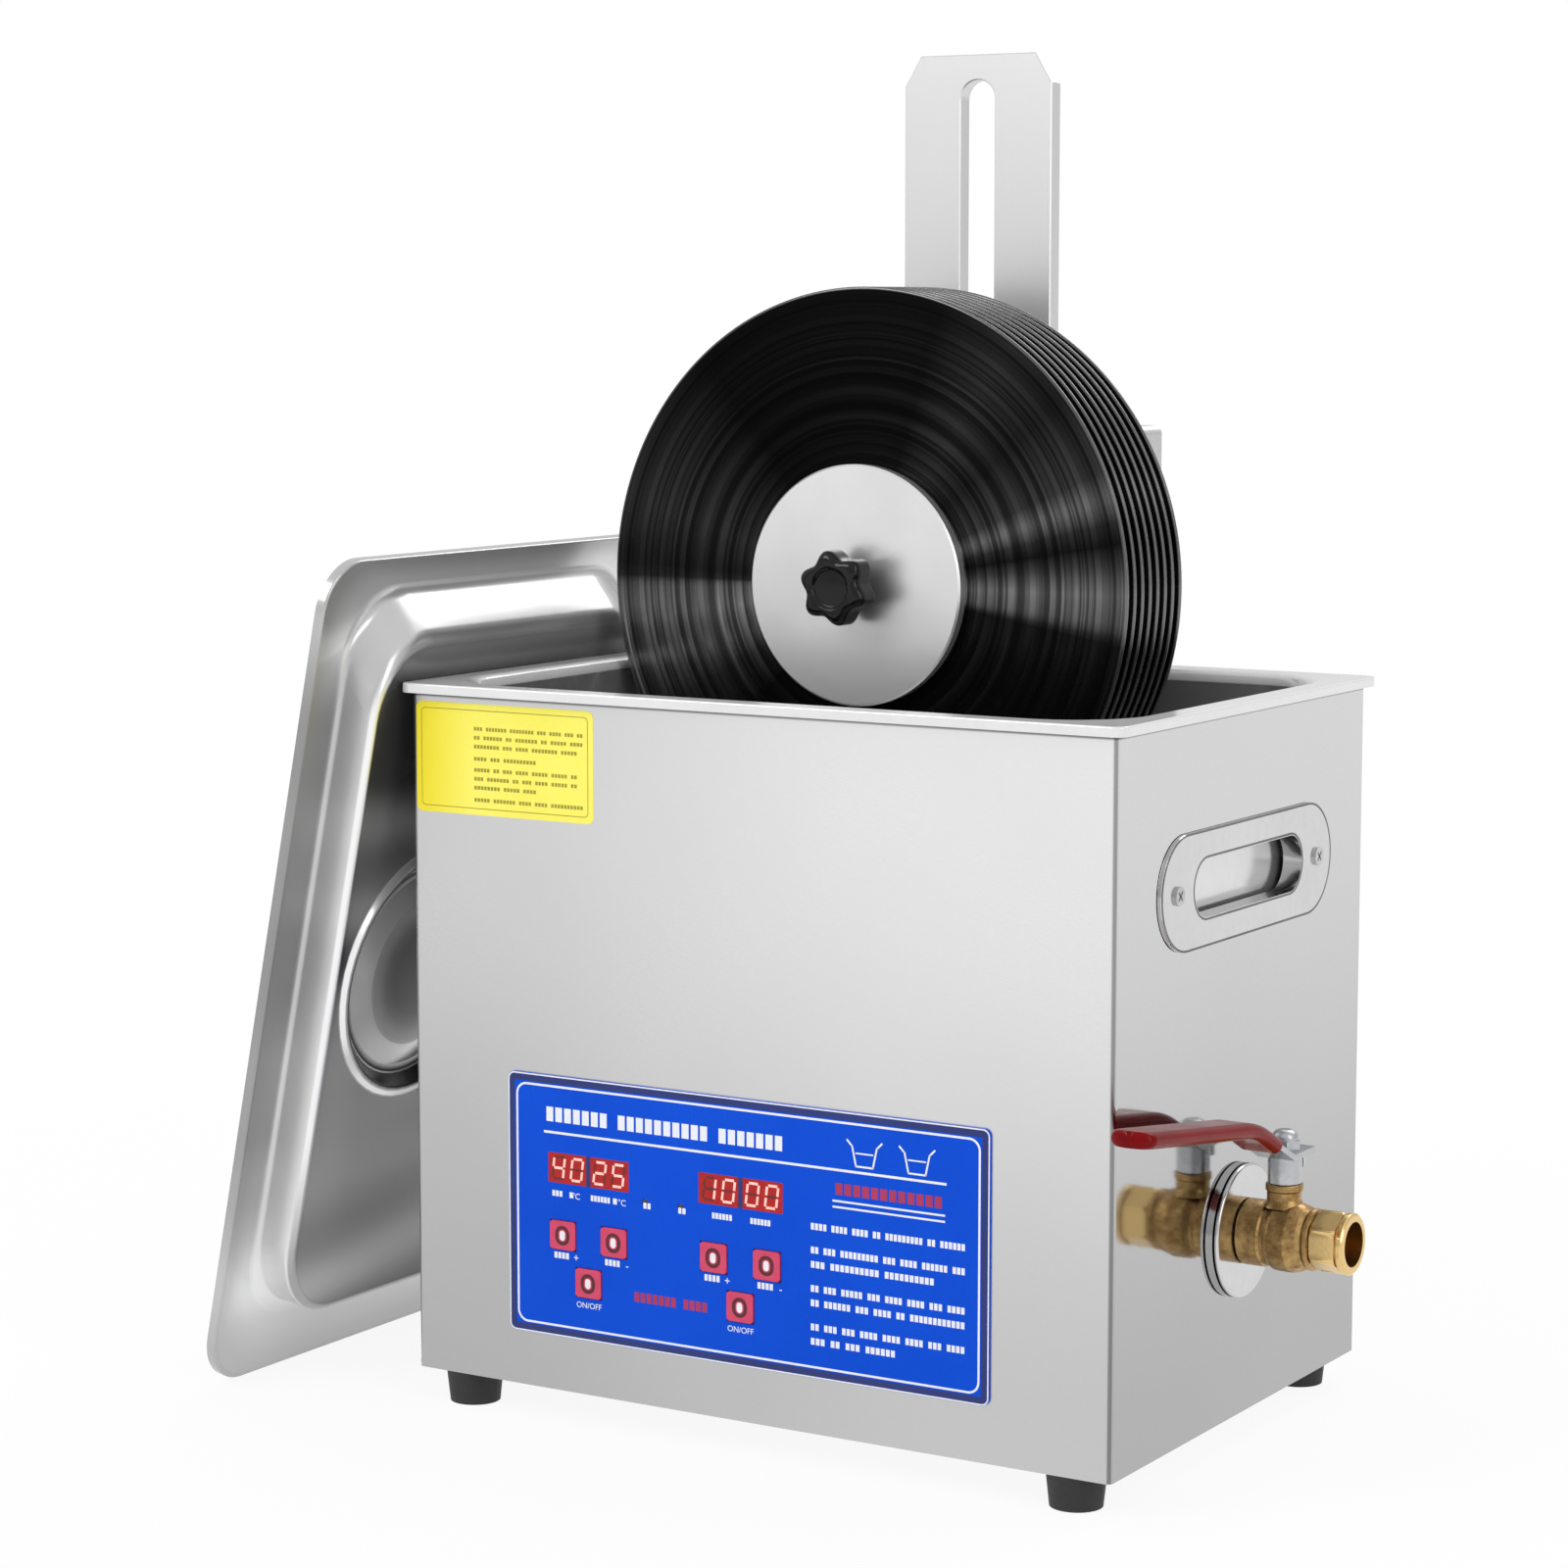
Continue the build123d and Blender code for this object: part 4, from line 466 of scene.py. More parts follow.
def turnBrass(material, d):
    # rough cast up to a given x and bright turned brass beyond it, towards the hexagonal end
    tree = material.node_tree
    shader = tree.nodes["Principled BSDF"]
    ends = [(d["x"] + side * d["blend"]) * mm for side in (-1, 1)]
    mask = (spread(tree, (objectAxes(tree), "X"), *ends, way="LINEAR"), 0)
    feed(tree, shader, "Base Color", (mixColours(tree, mask, (tree.nodes["colour"], 2), rgba(d["colour"])), 2))
    feed(tree, shader, "Roughness", (mixNumbers(tree, mask, (tree.nodes["rough"], 0), d["rough"]), 0))
    feed(tree, tree.nodes["relief"], "Strength", (mixNumbers(tree, mask, d["castBump"], d["turnedBump"]), 0))


# where the lid's painted light changes at its foot and its top, and the slanting bands of painted reflection
lidReflectionBands = dict(foot=(0.10, 0.03), top=(0.27, 0.315), turn=(0.62, 0.0, 0.0), stretch=(1.0, 0.45, 2.4), scale=8.0,
                change=(-0.7, 0.8))


def paintLidLight(material, stops, slanting, d):
    # painted light: tone by the row of the lid's own grid, one set each for its foot, its middle and its top,
    # painting highlights on the bright arcs and shade in the dark ones, with slanting bands of painted reflection
    tree = material.node_tree
    rows = (addNode(tree, "SeparateXYZ", {0: (addNode(tree, "UVMap", uv_map="around"), "UV")}), "Y")
    foot, middle, top = [greyRamp(tree, rows, column) for column in stops]
    height = (objectAxes(tree), "Z")
    toned = (middle, 0)
    for ramp, ends in ((foot, d["foot"]), (top, d["top"])):
        toned = (mixColours(tree, (spread(tree, height, *ends), 0), toned, (ramp, 0)), 2)
    slant = addNode(tree, "Mapping", {"Vector": (tree.nodes["coords"], "Object"), "Rotation": d["turn"],
                                      "Scale": d["stretch"]})
    bands = addNode(tree, "TexNoise", {"Vector": (slant, 0), "Scale": d["scale"], "Detail": 1.0, "Roughness": 0.4})
    band = spread(tree, (bands, "Fac"), *noiseRange, *d["change"])
    varied = reckon(tree, "MULTIPLY_ADD", (band, 0), (greyRamp(tree, rows, slanting), 0), 1.0)
    scaled = addNode(tree, "VectorMath", {0: toned, "Scale": (varied, 0)}, operation="SCALE")
    feed(tree, tree.nodes["Principled BSDF"], "Base Color", (scaled, 0))


# painted highlight: how strongly the grooves shine by their angle about the spindle, in degrees, a painted sheen
stack = dict(axisX=-27.0, axisZ=326.0)
grooves = dict(rings=1700.0, ringBump=0.15, bands=190.0, bandRange=(0.36, 0.66), bandShine=(0.35, 1.5),
               rim=(0.1236, 0.1244), rimPaintedShine=0.5, paintedSheen=[
                   (-180, 0.10), (-178, 0.60), (-170, 1.0), (-160, 0.55), (-150, 0.16), (-135, 0.02), (-60, 0.02),
                   (-16, 0.04), (-9, 0.03), (-6, 0.42), (0, 0.62), (6, 0.16), (10, 0.02), (14, 0.10), (19, 0.55),
                   (24, 0.16), (40, 0.05), (55, 0.09), (72, 0.015), (130, 0.01), (148, 0.06), (164, 0.11),
                   (177, 0.05), (180, 0.10)])


def makeVinyl(axisX, axisZ, d):
    # fine rings about the spindle move the bump; the shine is a painted sheen by the angle, changes from track to
    # track, and has a painted highlight on the rim bead
    material, tree, shader = newMaterial("recordVinyl", {
        "IOR": 2.0, "Anisotropic": 0.7, "Anisotropic Rotation": 0.25, "Roughness": 0.26,
        "Base Color": (0.0022, 0.0022, 0.0024, 1.0)})
    about = addNode(tree, "Mapping", {"Vector": (addNode(tree, "TexCoord"), "Object"),
                                      "Location": (-axisX * mm, 0, -axisZ * mm)})
    flat = addNode(tree, "VectorMath", {0: (about, 0), 1: (1.0, 0.0, 1.0)}, operation="MULTIPLY")
    distance = (addNode(tree, "VectorMath", {0: (flat, 0)}, operation="LENGTH"), "Value")
    axes = addNode(tree, "SeparateXYZ", {0: (about, 0)})
    angle = reckon(tree, "ARCTAN2", (axes, "Z"), (axes, "X"))
    share = reckon(tree, "MULTIPLY_ADD", (angle, 0), 0.5 / pi, 0.5)
    # painted sheen by the angle about the spindle
    paintedSheen = greyRamp(tree, (share, 0), [(degrees / 360 + 0.5, grey) for degrees, grey in d["paintedSheen"]])
    rings = addNode(tree, "TexNoise", {"W": distance, "Scale": d["rings"], "Detail": 2.0}, noise_dimensions="1D")
    bands = addNode(tree, "TexNoise", {"W": distance, "Scale": d["bands"], "Detail": 3.0, "Roughness": 0.7},
                    noise_dimensions="1D")
    track = spread(tree, (bands, "Fac"), *d["bandRange"], *d["bandShine"])
    # painted highlight along the rim bead
    rim = spread(tree, distance, *d["rim"], 0.0, d["rimPaintedShine"])
    shine = reckon(tree, "MULTIPLY_ADD", (paintedSheen, 0), (track, 0), (rim, 0))
    bump = addNode(tree, "Bump", {"Height": (rings, "Fac"), "Strength": d["ringBump"], "Distance": 0.00005})
    tangent = addNode(tree, "Tangent", direction_type="UV_MAP", uv_map="around")
    for socket, node in (("Specular IOR Level", shine), ("Normal", bump), ("Tangent", tangent)):
        feed(tree, shader, socket, (node, 0))
    return material


fadeSticker(finish["stickerYellow"], stickerFade)
paintCasingLight(finish["casingSteel"], casingPaintedLight)
paintRimHighlight(finish["rimSteel"], rimLipHighlight)
shadeRoseGroove(finish["roseSteel"], roseGrooveShade)
turnBrass(finish["valveBrass"], turnedEnd)
finish["recordVinyl"] = makeVinyl(**stack, d=grooves)

# which finish each kept node of the frame wears
worn = {
    "casingSteel": ["casing", "base_plate"],
    "rimSteel": ["tank_basin"],
    "footRubber": ["rubber_feet"],
    "screwSteel": ["base_screws", "handle_screws", "transducer_bolts"],
    "panelFilm": ["control_panel"],
    "windowRed": ["display_windows", "display_modules"],
    "ledLens": ["indicator_leds"],
    "blackPlastic": ["button_switches", "fan_frame", "fan_rotor", "power_inlet", "switch_housing", "power_rocker",
                     "fuse_holder"],
    "boardGreen": ["control_board", "generator_board"],
    "handleSteel": ["left_handle", "right_handle", "lid_handle"],
    "roseSteel": ["valve_rose"],
    "zincPlate": ["drain_pipe", "valve_stem", "valve_lever", "valve_locknut", "lever_nut"],
    "valveBrass": ["valve_body"],
    "turnedBrass": ["valve_ball"],
    "redVinyl": ["lever_sleeve"],
    "plateAluminium": ["front_end_plate", "back_end_plate"],
    "postAluminium": ["slotted_post", "rim_hook"],
    "boxAluminium": ["carriage", "motor_box", "motor_cover", "heatsink", "transducer_horns"],
    "shaftSteel": ["spindle", "gear_motor", "transducer_masses"],
    "firedCeramic": ["piezo_rings"],
    "orangeSilicone": ["heater_pads"],
    "ironCore": ["transformer"],
    "blackKnob": ["left_rim_clamp", "right_rim_clamp", "lift_clamp", "record_spacers", "star_knob"],
    "buttonPink": ["temp_up_button", "temp_down_button", "heater_button", "time_up_button", "time_down_button",
                   "timer_button"],
    "lidSteel": ["lid"],
    "recordVinyl": ["records"],
}
for finishName, nodeNames in worn.items():
    for nodeName in nodeNames:
        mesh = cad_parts[nodeName].data
        mesh.materials.clear()
        mesh.materials.append(finish[finishName])
print("finishes made and given to", sum(len(names) for names in worn.values()), "nodes")


# the leaning lid

lid = dict(origin=(-248.9, -29.0, -14.0), lean=11.5, width=242.0, height=361.0, corner=22.0, sheet=1.0, hem=3.5,
           plugWidth=205.0, plugHeight=300.0, plugCorner=34.0, plugDepth=20.0, plugEdge=3.5, foot=3.0, ledge=0.45,
           dish=48.0, dishAt=(-40.0, 180.5), dishDepth=4.0, bead=1.6)


# the painted light and shade of each zone of the lid at its foot, in its middle and at its top, and how much the
# painted reflection bands show
lidPaintedLight = {"hem": (0.5, 0.32, 0.5, 0.1), "flange": (0.78, 0.36, 0.95, 0.2), "wall": (0.8, 0.62, 0.6, 0.1),
            "edge": (0.4, 0.95, 0.4, 0.0), "face": (0.27, 0.26, 0.38, 1.0), "outerArc": (0.95, 0.95, 0.95, 0.0),
            "fall": (0.05, 0.06, 0.06, 0.0), "innerArc": (0.98, 0.98, 0.98, 0.0), "inside": (0.7, 0.7, 0.7, 0.1),
            "centre": (0.3, 0.3, 0.3, 0.2), "rear": (0.5, 0.5, 0.5, 0.6)}

# the zones about the dish, each from this far beyond its radius outwards
dishZones = [(8.4, "face"), (5.0, "outerArc"), (-4.4, "fall"), (-15.0, "innerArc"), (-25.0, "inside"),
             (-99.0, "centre")]


def lidSections(d, back):
    # the skin from the hem over the flange, up the plug wall and down into the round dish, as (inset, depth) corners;
    # the wall slopes back at the top edge, and each row's zone goes with it
    t = d["sheet"] * back
    reach = (d["width"] - d["plugWidth"]) / 2
    drop = (d["height"] - d["plugHeight"]) / 2
    top, floor = d["plugDepth"] - t, d["plugDepth"] - d["dishDepth"] - t
    side = roundCorners([
        (t, -d["hem"], 0), (t, d["sheet"] - t, 1.1 - 0.9 * back), (reach + t, d["sheet"] - t, d["foot"]),
        (reach + t, top, d["plugEdge"] - t), (reach + 3.8, top, 0), (reach + 4.5, top, 0)])
    rows, zones = [], []
    for inset, depth in side:
        share = min(max(inset / reach, 0.0), 1.0)
        beyond = max(inset - reach, 0.0)
        corner = d["corner"] + (d["plugCorner"] - d["corner"]) * share - beyond
        rise = min(max((depth - d["sheet"]) / (d["plugDepth"] - d["sheet"]), 0.0), 1.0)
        below, above = drop * share + beyond, drop * share * (d["ledge"] + (1 - d["ledge"]) * rise) + beyond
        middle = (d["height"] + below - above) / 2
        rows.append((d["width"] - 2 * inset, d["height"] - below - above, max(corner, 1.0), depth, 0.0, middle))
        flat = "hem" if inset < 1.6 else "flange"
        plug = "wall" if depth < top - 1.8 else "edge" if inset < reach + 2.6 else "face"
        zones.append(flat if depth < 1.5 else plug)
    r = d["dish"]
    if back:
        ring = roundCorners([(r + 8.8, top, 0), (r + 3.0, top, 1.8), (r - 3.6, floor, 2.6), (r - 12.0, floor, 0)], 7)
        middle = floor
    else:
        # a bead round the dish and a shallow dome inside it
        crest = top + d["bead"]
        ring = roundCorners([
            (r + 8.8, top, 0), (r + 7.8, top, 0.5), (r + 5.6, crest, 1.2), (r + 3.4, crest, 1.0),
            (r - 1.5, floor, 2.0), (r - 5.0, floor, 1.2), (r - 15.0, top - 0.9, 7.0), (r - 26.0, top - 0.3, 0)], 5)
        middle = top
    ring = np.vstack([ring, [(r - 36.0, middle), (0.01, middle)]])
    for q, depth in ring:
        rows.append((2 * q, 2 * q, q, depth, *d["dishAt"]))
        zones.append(next(zone for beyond, zone in dishZones if q > r + beyond))
    rows.append((0, 0, 0, middle, *d["dishAt"]))
    zones.append("centre")
    return rows, zones


def makeLid(d):
    lean = radians(d["lean"])
    up, out = (sin(lean), 0.0, cos(lean)), (cos(lean), 0.0, -sin(lean))
    (front, zones), (rear, rearZones) = lidSections(d, 0), lidSections(d, 1)
    zones = zones[::-1] + ["rear"] * len(rearZones)
    last = len(zones) - 1
    kept = [k for k in range(last + 1) if k in (0, last) or zones[k] != zones[k - 1] or zones[k] != zones[k + 1]]
    stops = [[(k / last, lidPaintedLight[zones[k]][column]) for k in kept] for column in range(4)]
    # painted light and shade of the lid, zone by zone
    paintLidLight(finish["lidSteel"], stops[:3], stops[3], lidReflectionBands)
    grid = place(loft(front[::-1] + rear, 12), d["origin"], (0, 1, 0), up, out)
    buildPiece("lidShell", [grid], finish["lidSteel"], "lid", ["lid"])


makeLid(lid)
print("lid made")


# records and knob

record = dict(radius=125.0, hole=3.62, half=1.0, count=8, first=21.0, pitch=7.0, label=50.0, lead=60.0, edge=121.4)


def recordProfile(d):
    # one face from the hole outwards: label, run-out, five track bands with a shallow dip between, and a round bead
    face = [(d["hole"], d["half"] - 0.35, 0), (d["hole"] + 0.3, d["half"] - 0.05, 0),
            (d["label"], d["half"] - 0.05, 0.2), (d["label"] + 0.6, d["half"] - 0.3, 0.2)]
    for start in np.linspace(d["lead"], d["edge"] - 1.6, 6):
        face += [(start - 0.5, d["half"] - 0.3, 0), (start, d["half"] - 0.42, 0), (start + 0.5, d["half"] - 0.3, 0)]
    face += [(d["edge"], d["half"] - 0.3, 0.3), (d["edge"] + 0.9, d["half"], 0.4), (d["radius"], d["half"], 0.85),
             (d["radius"], 0.0, 0)]
    top = roundCorners(face, 4)
    under = top[::-1] * np.array([1, -1])
    return np.vstack([top, under[1:], top[:1]])


def makeRecords(d):
    profile = recordProfile(d)
    for k in range(d["count"]):
        middle = d["first"] + d["pitch"] * k + d["half"]
        grid = place(turn(profile, 224), (stack["axisX"], middle, stack["axisZ"]), (1, 0, 0), (0, 0, 1), (0, -1, 0))
        buildPiece("record_%d" % (k + 1), [grid], finish["recordVinyl"], "record_stack",
                   ["records"], 50.0)


makeRecords(record)

knob = dict(back=13.7, radius=16.0, neck=8.5, neckLong=6.0, long=20.0, edge=4.0, lobes=6, tip=42.0, depth=0.2)


def makeKnob(d):
    # six round lobes: the radius is r (1 - depth (1 - cos 6(a - tip)) / 2), on the head only
    angle = np.linspace(0, tau, 241)
    lobed = 1 - d["depth"] * (1 - np.cos(d["lobes"] * (angle - radians(d["tip"])))) / 2
    head = roundCorners([
        (d["neck"], d["neckLong"], 0), (d["radius"], d["neckLong"] + 0.3, 2.4), (d["radius"], d["long"], d["edge"]),
        (9.0, d["long"] - 0.3, 1.5), (7.6, d["long"] - 1.6, 1.0), (0.0, d["long"] - 1.2, 0)], 8)
    share = np.clip((head[:, 0] - d["neck"]) / 4.0, 0, 1)[:, None]
    radii = head[:, :1] * (1 + share * (lobed - 1))
    foot = np.array([0.0, d["neck"] - 0.6, d["neck"]])[:, None] * np.ones_like(angle)
    grid = turnGrid(np.vstack([foot, radii]), [0.0, 0.0, 0.6, *head[:, 1]])
    grid = place(grid, (stack["axisX"], d["back"], stack["axisZ"]), (1, 0, 0), (0, 0, 1), (0, -1, 0))
    buildPiece("starKnob", [grid], finish["blackKnob"], "stack_knob", ["star_knob"])


makeKnob(knob)
print("records and knob made")


# drain valve

valve = dict(inner=167.0, y=-4.0, z=76.5, long=45.5, bore=9.0, cavity=11.6, wall=13.3, hexFlats=21.8, hexFrom=31.0,
             hexTo=41.6, hexCone=(9.8, 11.5, 12.7, 12.7, 11.8, 9.8), stemX=182.5, boss=7.5, bossFoot=12.0,
             bossTop=21.5)


def makeValve(d):
    # a turned barrel with its bore, a hexagon whose corners are cut by a cone, and the upright boss
    barrel = turn(roundCorners([
        (d["bore"], d["long"], 0), (11.5, d["long"], 0.5), (12.4, d["long"] - 0.9, 0.4), (12.4, 42.6, 0.6),
        (10.2, 41.9, 0.4), (10.2, 31.0, 0.3), (12.2, 30.2, 0.5), (12.5, 28.8, 0.5), (11.7, 27.4, 0.4),
        (12.9, 25.6, 0.8), (14.2, 21.0, 2.5), (14.0, 14.0, 2.0), (12.5, 11.4, 0.6), (12.5, 10.0, 0.3),
        (d["wall"], 9.2, 0.4), (d["wall"], 0.0, 0.6), (d["cavity"], 0.0, 0), (d["cavity"], 29.0, 0.2),
        (d["bore"], 30.0, 0.2), (d["bore"], d["long"], 0)], 4), 128)
    angle = np.linspace(0, tau, 145)
    flats = d["hexFlats"] / 2 / np.cos((angle + pi / 6) % (pi / 3) - pi / 6)
    heights = [d["hexFrom"], d["hexFrom"], d["hexFrom"] + 1.2, d["hexTo"] - 0.9, d["hexTo"], d["hexTo"]]
    hexagon = turnGrid(np.minimum(flats[None], np.array(d["hexCone"])[:, None]), heights)
    grids = [place(g, (d["inner"], d["y"], d["z"]), (0, 1, 0), (0, 0, 1), (1, 0, 0)) for g in (barrel, hexagon)]
    boss = roundCorners([
        (0, d["bossFoot"], 0), (d["boss"] + 0.8, d["bossFoot"], 0), (d["boss"] - 0.6, 15.0, 1.0),
        (d["boss"] - 0.6, 18.2, 0.3), (d["boss"], 18.8, 0.3), (d["boss"], d["bossTop"], 0.6),
        (0, d["bossTop"], 0)], 4)
    grids.append(place(turn(boss, 72), (d["stemX"], d["y"], d["z"]), (1, 0, 0), (0, 1, 0), (0, 0, 1)))
    buildPiece("valveShell", grids, finish["valveBrass"], "machine", ["valve_body"], 30.0)


grip = dict(line=[(-27.3, 116.65), (-46.0, 126.0), (-143.0, 139.4)], bend=60.0, middle=182.5, over=1.25, width=18.6,
            thick=6.4, corner=3.1, round=5.5)


def makeGrip(d):
    # the sleeve follows the lever; its end corners are quarter circles: inset = r - sqrt(r r - (r - left)(r - left))
    first, bend, last = (np.array(p) + (0.0, d["over"]) for p in d["line"])
    bent = roundCorners([(*first, 0), (*bend, d["bend"]), (*last, 0)], 14)
    length = np.concatenate([[0], np.cumsum(np.linalg.norm(np.diff(bent, axis=0), axis=1))])
    r = d["round"]
    ending = r * np.cos(np.linspace(0, pi / 2, 12))[1:]
    s = np.concatenate([np.linspace(0.0, length[-1] - r, 50), length[-1] - ending])
    path = np.column_stack([np.interp(s, length, bent[:, k]) for k in (0, 1)])
    left = np.clip(length[-1] - s, 0.0, r)
    widths = d["width"] - 2 * (r - np.sqrt(np.maximum(r * r - (r - left) ** 2, 0.0)))
    grid = strip(path, d["middle"], widths, d["thick"], d["corner"])
    buildPiece("leverGrip", [grid], finish["redVinyl"], "valve_handle", ["lever_sleeve"], 50.0)


outline = dict(z=219.0, plateX=163.72, width=158.0, height=46.0, gripWidth=102.4, gripHeight=25.4, line=0.9,
               low=-0.05, high=0.02, screwX=164.90, screwY=65.00, slotHalf=1.7, slotWide=0.9, slotDeep=0.4,
               slotProud=0.03)


def makeShadeOutlines(d):
    # painted shade: a dark ring painted along the rolled edge round each carrying handle and round its grip, and dark
    # slots in its screws
    grids = []
    for side in (-1, 1):
        for width, height in ((d["width"], d["height"]), (d["gripWidth"], d["gripHeight"])):
            ring = outlinePlate(width, height, height / 2 - 0.05, d["line"], 0.0, 0.0, d["low"], d["high"], 14)
            grids.append(place(ring, (side * d["plateX"], 0, d["z"]), (0, side, 0), (0, 0, 1), (side, 0, 0)))
    buildPiece("handleEdges", grids, finish["paintedShade"], "machine")
    # a cross slot in each screw head: two dark bars through its middle, painted shade where the recess would be
    slots, h = [], d["slotHalf"]
    for side in (-1, 1):
        for y in (-d["screwY"], d["screwY"]):
            for rise in (-h, h):
                bar = stroke((y - h, -rise), (y + h, rise), d["slotWide"], -d["slotDeep"], d["slotProud"])
                slots.append(place(bar, (side * d["screwX"], 0, d["z"]), (0, side, 0), (0, 0, 1), (side, 0, 0)))
    buildPiece("screwSlots", slots, finish["paintedShade"], "machine")


makeValve(valve)
makeShadeOutlines(outline)
makeGrip(grip)
print("valve made")


# control panel print

panel = dict(x=-2.0, z=77.25, width=225.0, height=108.5, front=-116.0, ink=0.05, heatX=-75.0, timeX=-2.0,
             windowZ=93.5, windowHeight=12.5, keyZ=65.6, switchZ=47.0, keyReach=12.5)

# name, how much smaller than the panel, corner, line width, share of the ink's height, finish
frameLines = [("panelFrameLine", 8.0, 5.0, 0.9, 1.0, "whiteInk"), ("panelEdgeLine", 0.2, 3.0, 0.55, 1.0, "whiteInk"),
              ("panelBorder", 1.3, 2.6, 2.7, 0.8, "panelEdge")]

# level, and the letters of each word, of the lines beside the keys
hintLines = [(84.0, [4, 4, 4, 2, 9, 2, 6]), (74.5, [2, 3, 9, 3, 4, 6, 3]), (68.7, [3, 10, 10]),
             (59.0, [2, 3, 5, 3, 4, 4, 3, 4]), (53.2, [2, 6, 3, 4, 2, 12]), (43.5, [2, 3, 3, 4, 4, 4, 3, 4]),
             (37.7, [3, 2, 3, 6])]

# left end and letters of each mark under the windows
scaleMarks = [(-93.0, 3), (-84.6, 1), (-74.0, 6), (-63.2, 1), (-48.4, 2), (-31.6, 2), (-15.5, 6), (2.5, 6)]


def printPiece(name, grids, front, ink, body="machine"):
    buildPiece(name, [onFront(g, front) for g in grids], finish[ink], body)


def printedFrame(d):
    for name, less, corner, line, share, ink in frameLines:
        width, height, high = d["width"] - less, d["height"] - less, d["ink"] * share
        printPiece(name, [outlinePlate(width, height, corner, line, d["x"], d["z"], sunk, high)], d["front"], ink)


def printedWords(d):
    high = d["ink"]
    bars = wordBars([7, 10, 7], -96.0, 18.0, 112.5, 6.0, sunk, high)
    bars.append(stroke((-96.8, 108.0), (91.6, 108.0), 1.0, sunk, high))
    bars += [stroke((40.6, z), (91.0, z), 0.8, sunk, high) for z in (93.2, 95.6)]
    for z, words in hintLines:
        right = 30.5 + min(69.5, 2.15 * (sum(words) + len(words)))
        bars += wordBars(words, 30.5, right, z - 1.2, 2.7, sunk, high)
    for x, letters in scaleMarks:
        bars += wordBars([letters], x, x + 1.45 * letters + 1.0, 81.6, 2.4, sunk, high)
    printPiece("panelWords", bars, d["front"], "whiteInk")
    red = wordBars([12], 41.5, 90.0, 98.2, 4.6, sunk, high) + wordBars([7, 4], -53.0, -17.5, 42.6, 4.0, sunk, high)
    printPiece("panelRedWords", red, d["front"], "redInk")


def printedTanks(d):
    # two small open tanks with turned-out lips and a level line
    grids = []
    for x in (55.0, 78.5):
        left, right, top, bottom, level = x - 5.6, x + 5.6, 119.5, 110.4, 115.6
        walls = [((left - 2.4, top + 1.2), (left, top - 1.2)), ((left, top - 1.0), (left + 1.8, bottom)),
                 ((left + 1.6, bottom), (right - 1.6, bottom)), ((right - 1.8, bottom), (right, top - 1.0)),
                 ((right, top - 1.2), (right + 2.4, top + 1.2))]
        grids += [stroke(a, b, 0.75, sunk, d["ink"]) for a, b in walls]
        grids.append(stroke((left + 1.6, level), (right - 1.6, level), 0.6, sunk, d["ink"]))
    printPiece("panelTankMarks", grids, d["front"], "whiteInk")


printedFrame(panel)
printedWords(panel)
printedTanks(panel)

digitStrokes = {  # the seven bars of a digit: top, upper right, lower right, bottom, lower left, upper left, middle
    "0": (0, 1, 2, 3, 4, 5), "1": (1, 2), "2": (0, 1, 3, 4, 6), "4": (1, 2, 5, 6), "5": (0, 2, 3, 5, 6)}

digits = dict(width=5.2, height=9.0, cut=0.5, slant=0.12, line=1.05, proud=0.06, across=(-14.6, -5.6, 5.6, 14.6),
              shown={"heatX": "4025", "timeX": "1000"})


def makeDigits(d, windowZ):
    # each digit's seven bars on its window, lit or dark
    lit, dark = [], []
    x, z, cut = d["width"] / 2, d["height"] / 2, d["cut"]
    bars = [((cut - x, z), (x - cut, z)), ((x, z - cut), (x, cut)), ((x, -cut), (x, cut - z)),
            ((cut - x, -z), (x - cut, -z)), ((-x, cut - z), (-x, -cut)), ((-x, cut), (-x, z - cut)),
            ((cut - x, 0), (x - cut, 0))]
    for window, shown in d["shown"].items():
        for across, digit in zip(d["across"], shown):
            middle = panel[window] + across
            for n, bar in enumerate(bars):
                a, b = [(middle + px + d["slant"] * pz, windowZ + pz) for px, pz in bar]
                (lit if n in digitStrokes[digit] else dark).append(stroke(a, b, d["line"], sunk, d["proud"]))
    return lit, dark


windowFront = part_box("display_windows")[0].y / mm
lit, dark = makeDigits(digits, panel["windowZ"])
printPiece("digitsLit", lit, windowFront, "segmentLit")
printPiece("digitsDark", dark, windowFront, "segmentDim")
gaps = [plate(2.0, panel["windowHeight"], 0.1, panel[x], panel["windowZ"], sunk, 0.07, 1) for x in ("heatX", "timeX")]
printPiece("windowGaps", gaps, windowFront, "panelEdge")

keyFace = dict(ring=(7.0, 8.2, 3.4, 1.5), ringProud=0.05, dot=(2.6, 4.2, 1.25), dotProud=0.06)


def makeKey(name, x, z, d):
    # a dark ring and a pale dot on the key's face
    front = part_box(name + "_button")[0].y / mm
    ring = outlinePlate(*d["ring"], x, z, sunk, d["ringProud"])
    dot = plate(*d["dot"], x, z, sunk, d["dotProud"])
    printPiece(name + "_ring", [ring], front, "buttonRing", name + "_key")
    printPiece(name + "_dot", [dot], front, "buttonDot", name + "_key")


for up, down, switch, x in (("temp_up", "temp_down", "heater", panel["heatX"]),
                            ("time_up", "time_down", "timer", panel["timeX"])):
    makeKey(up, x - panel["keyReach"], panel["keyZ"], keyFace)
    makeKey(down, x + panel["keyReach"], panel["keyZ"], keyFace)
    makeKey(switch, x, panel["switchZ"], keyFace)


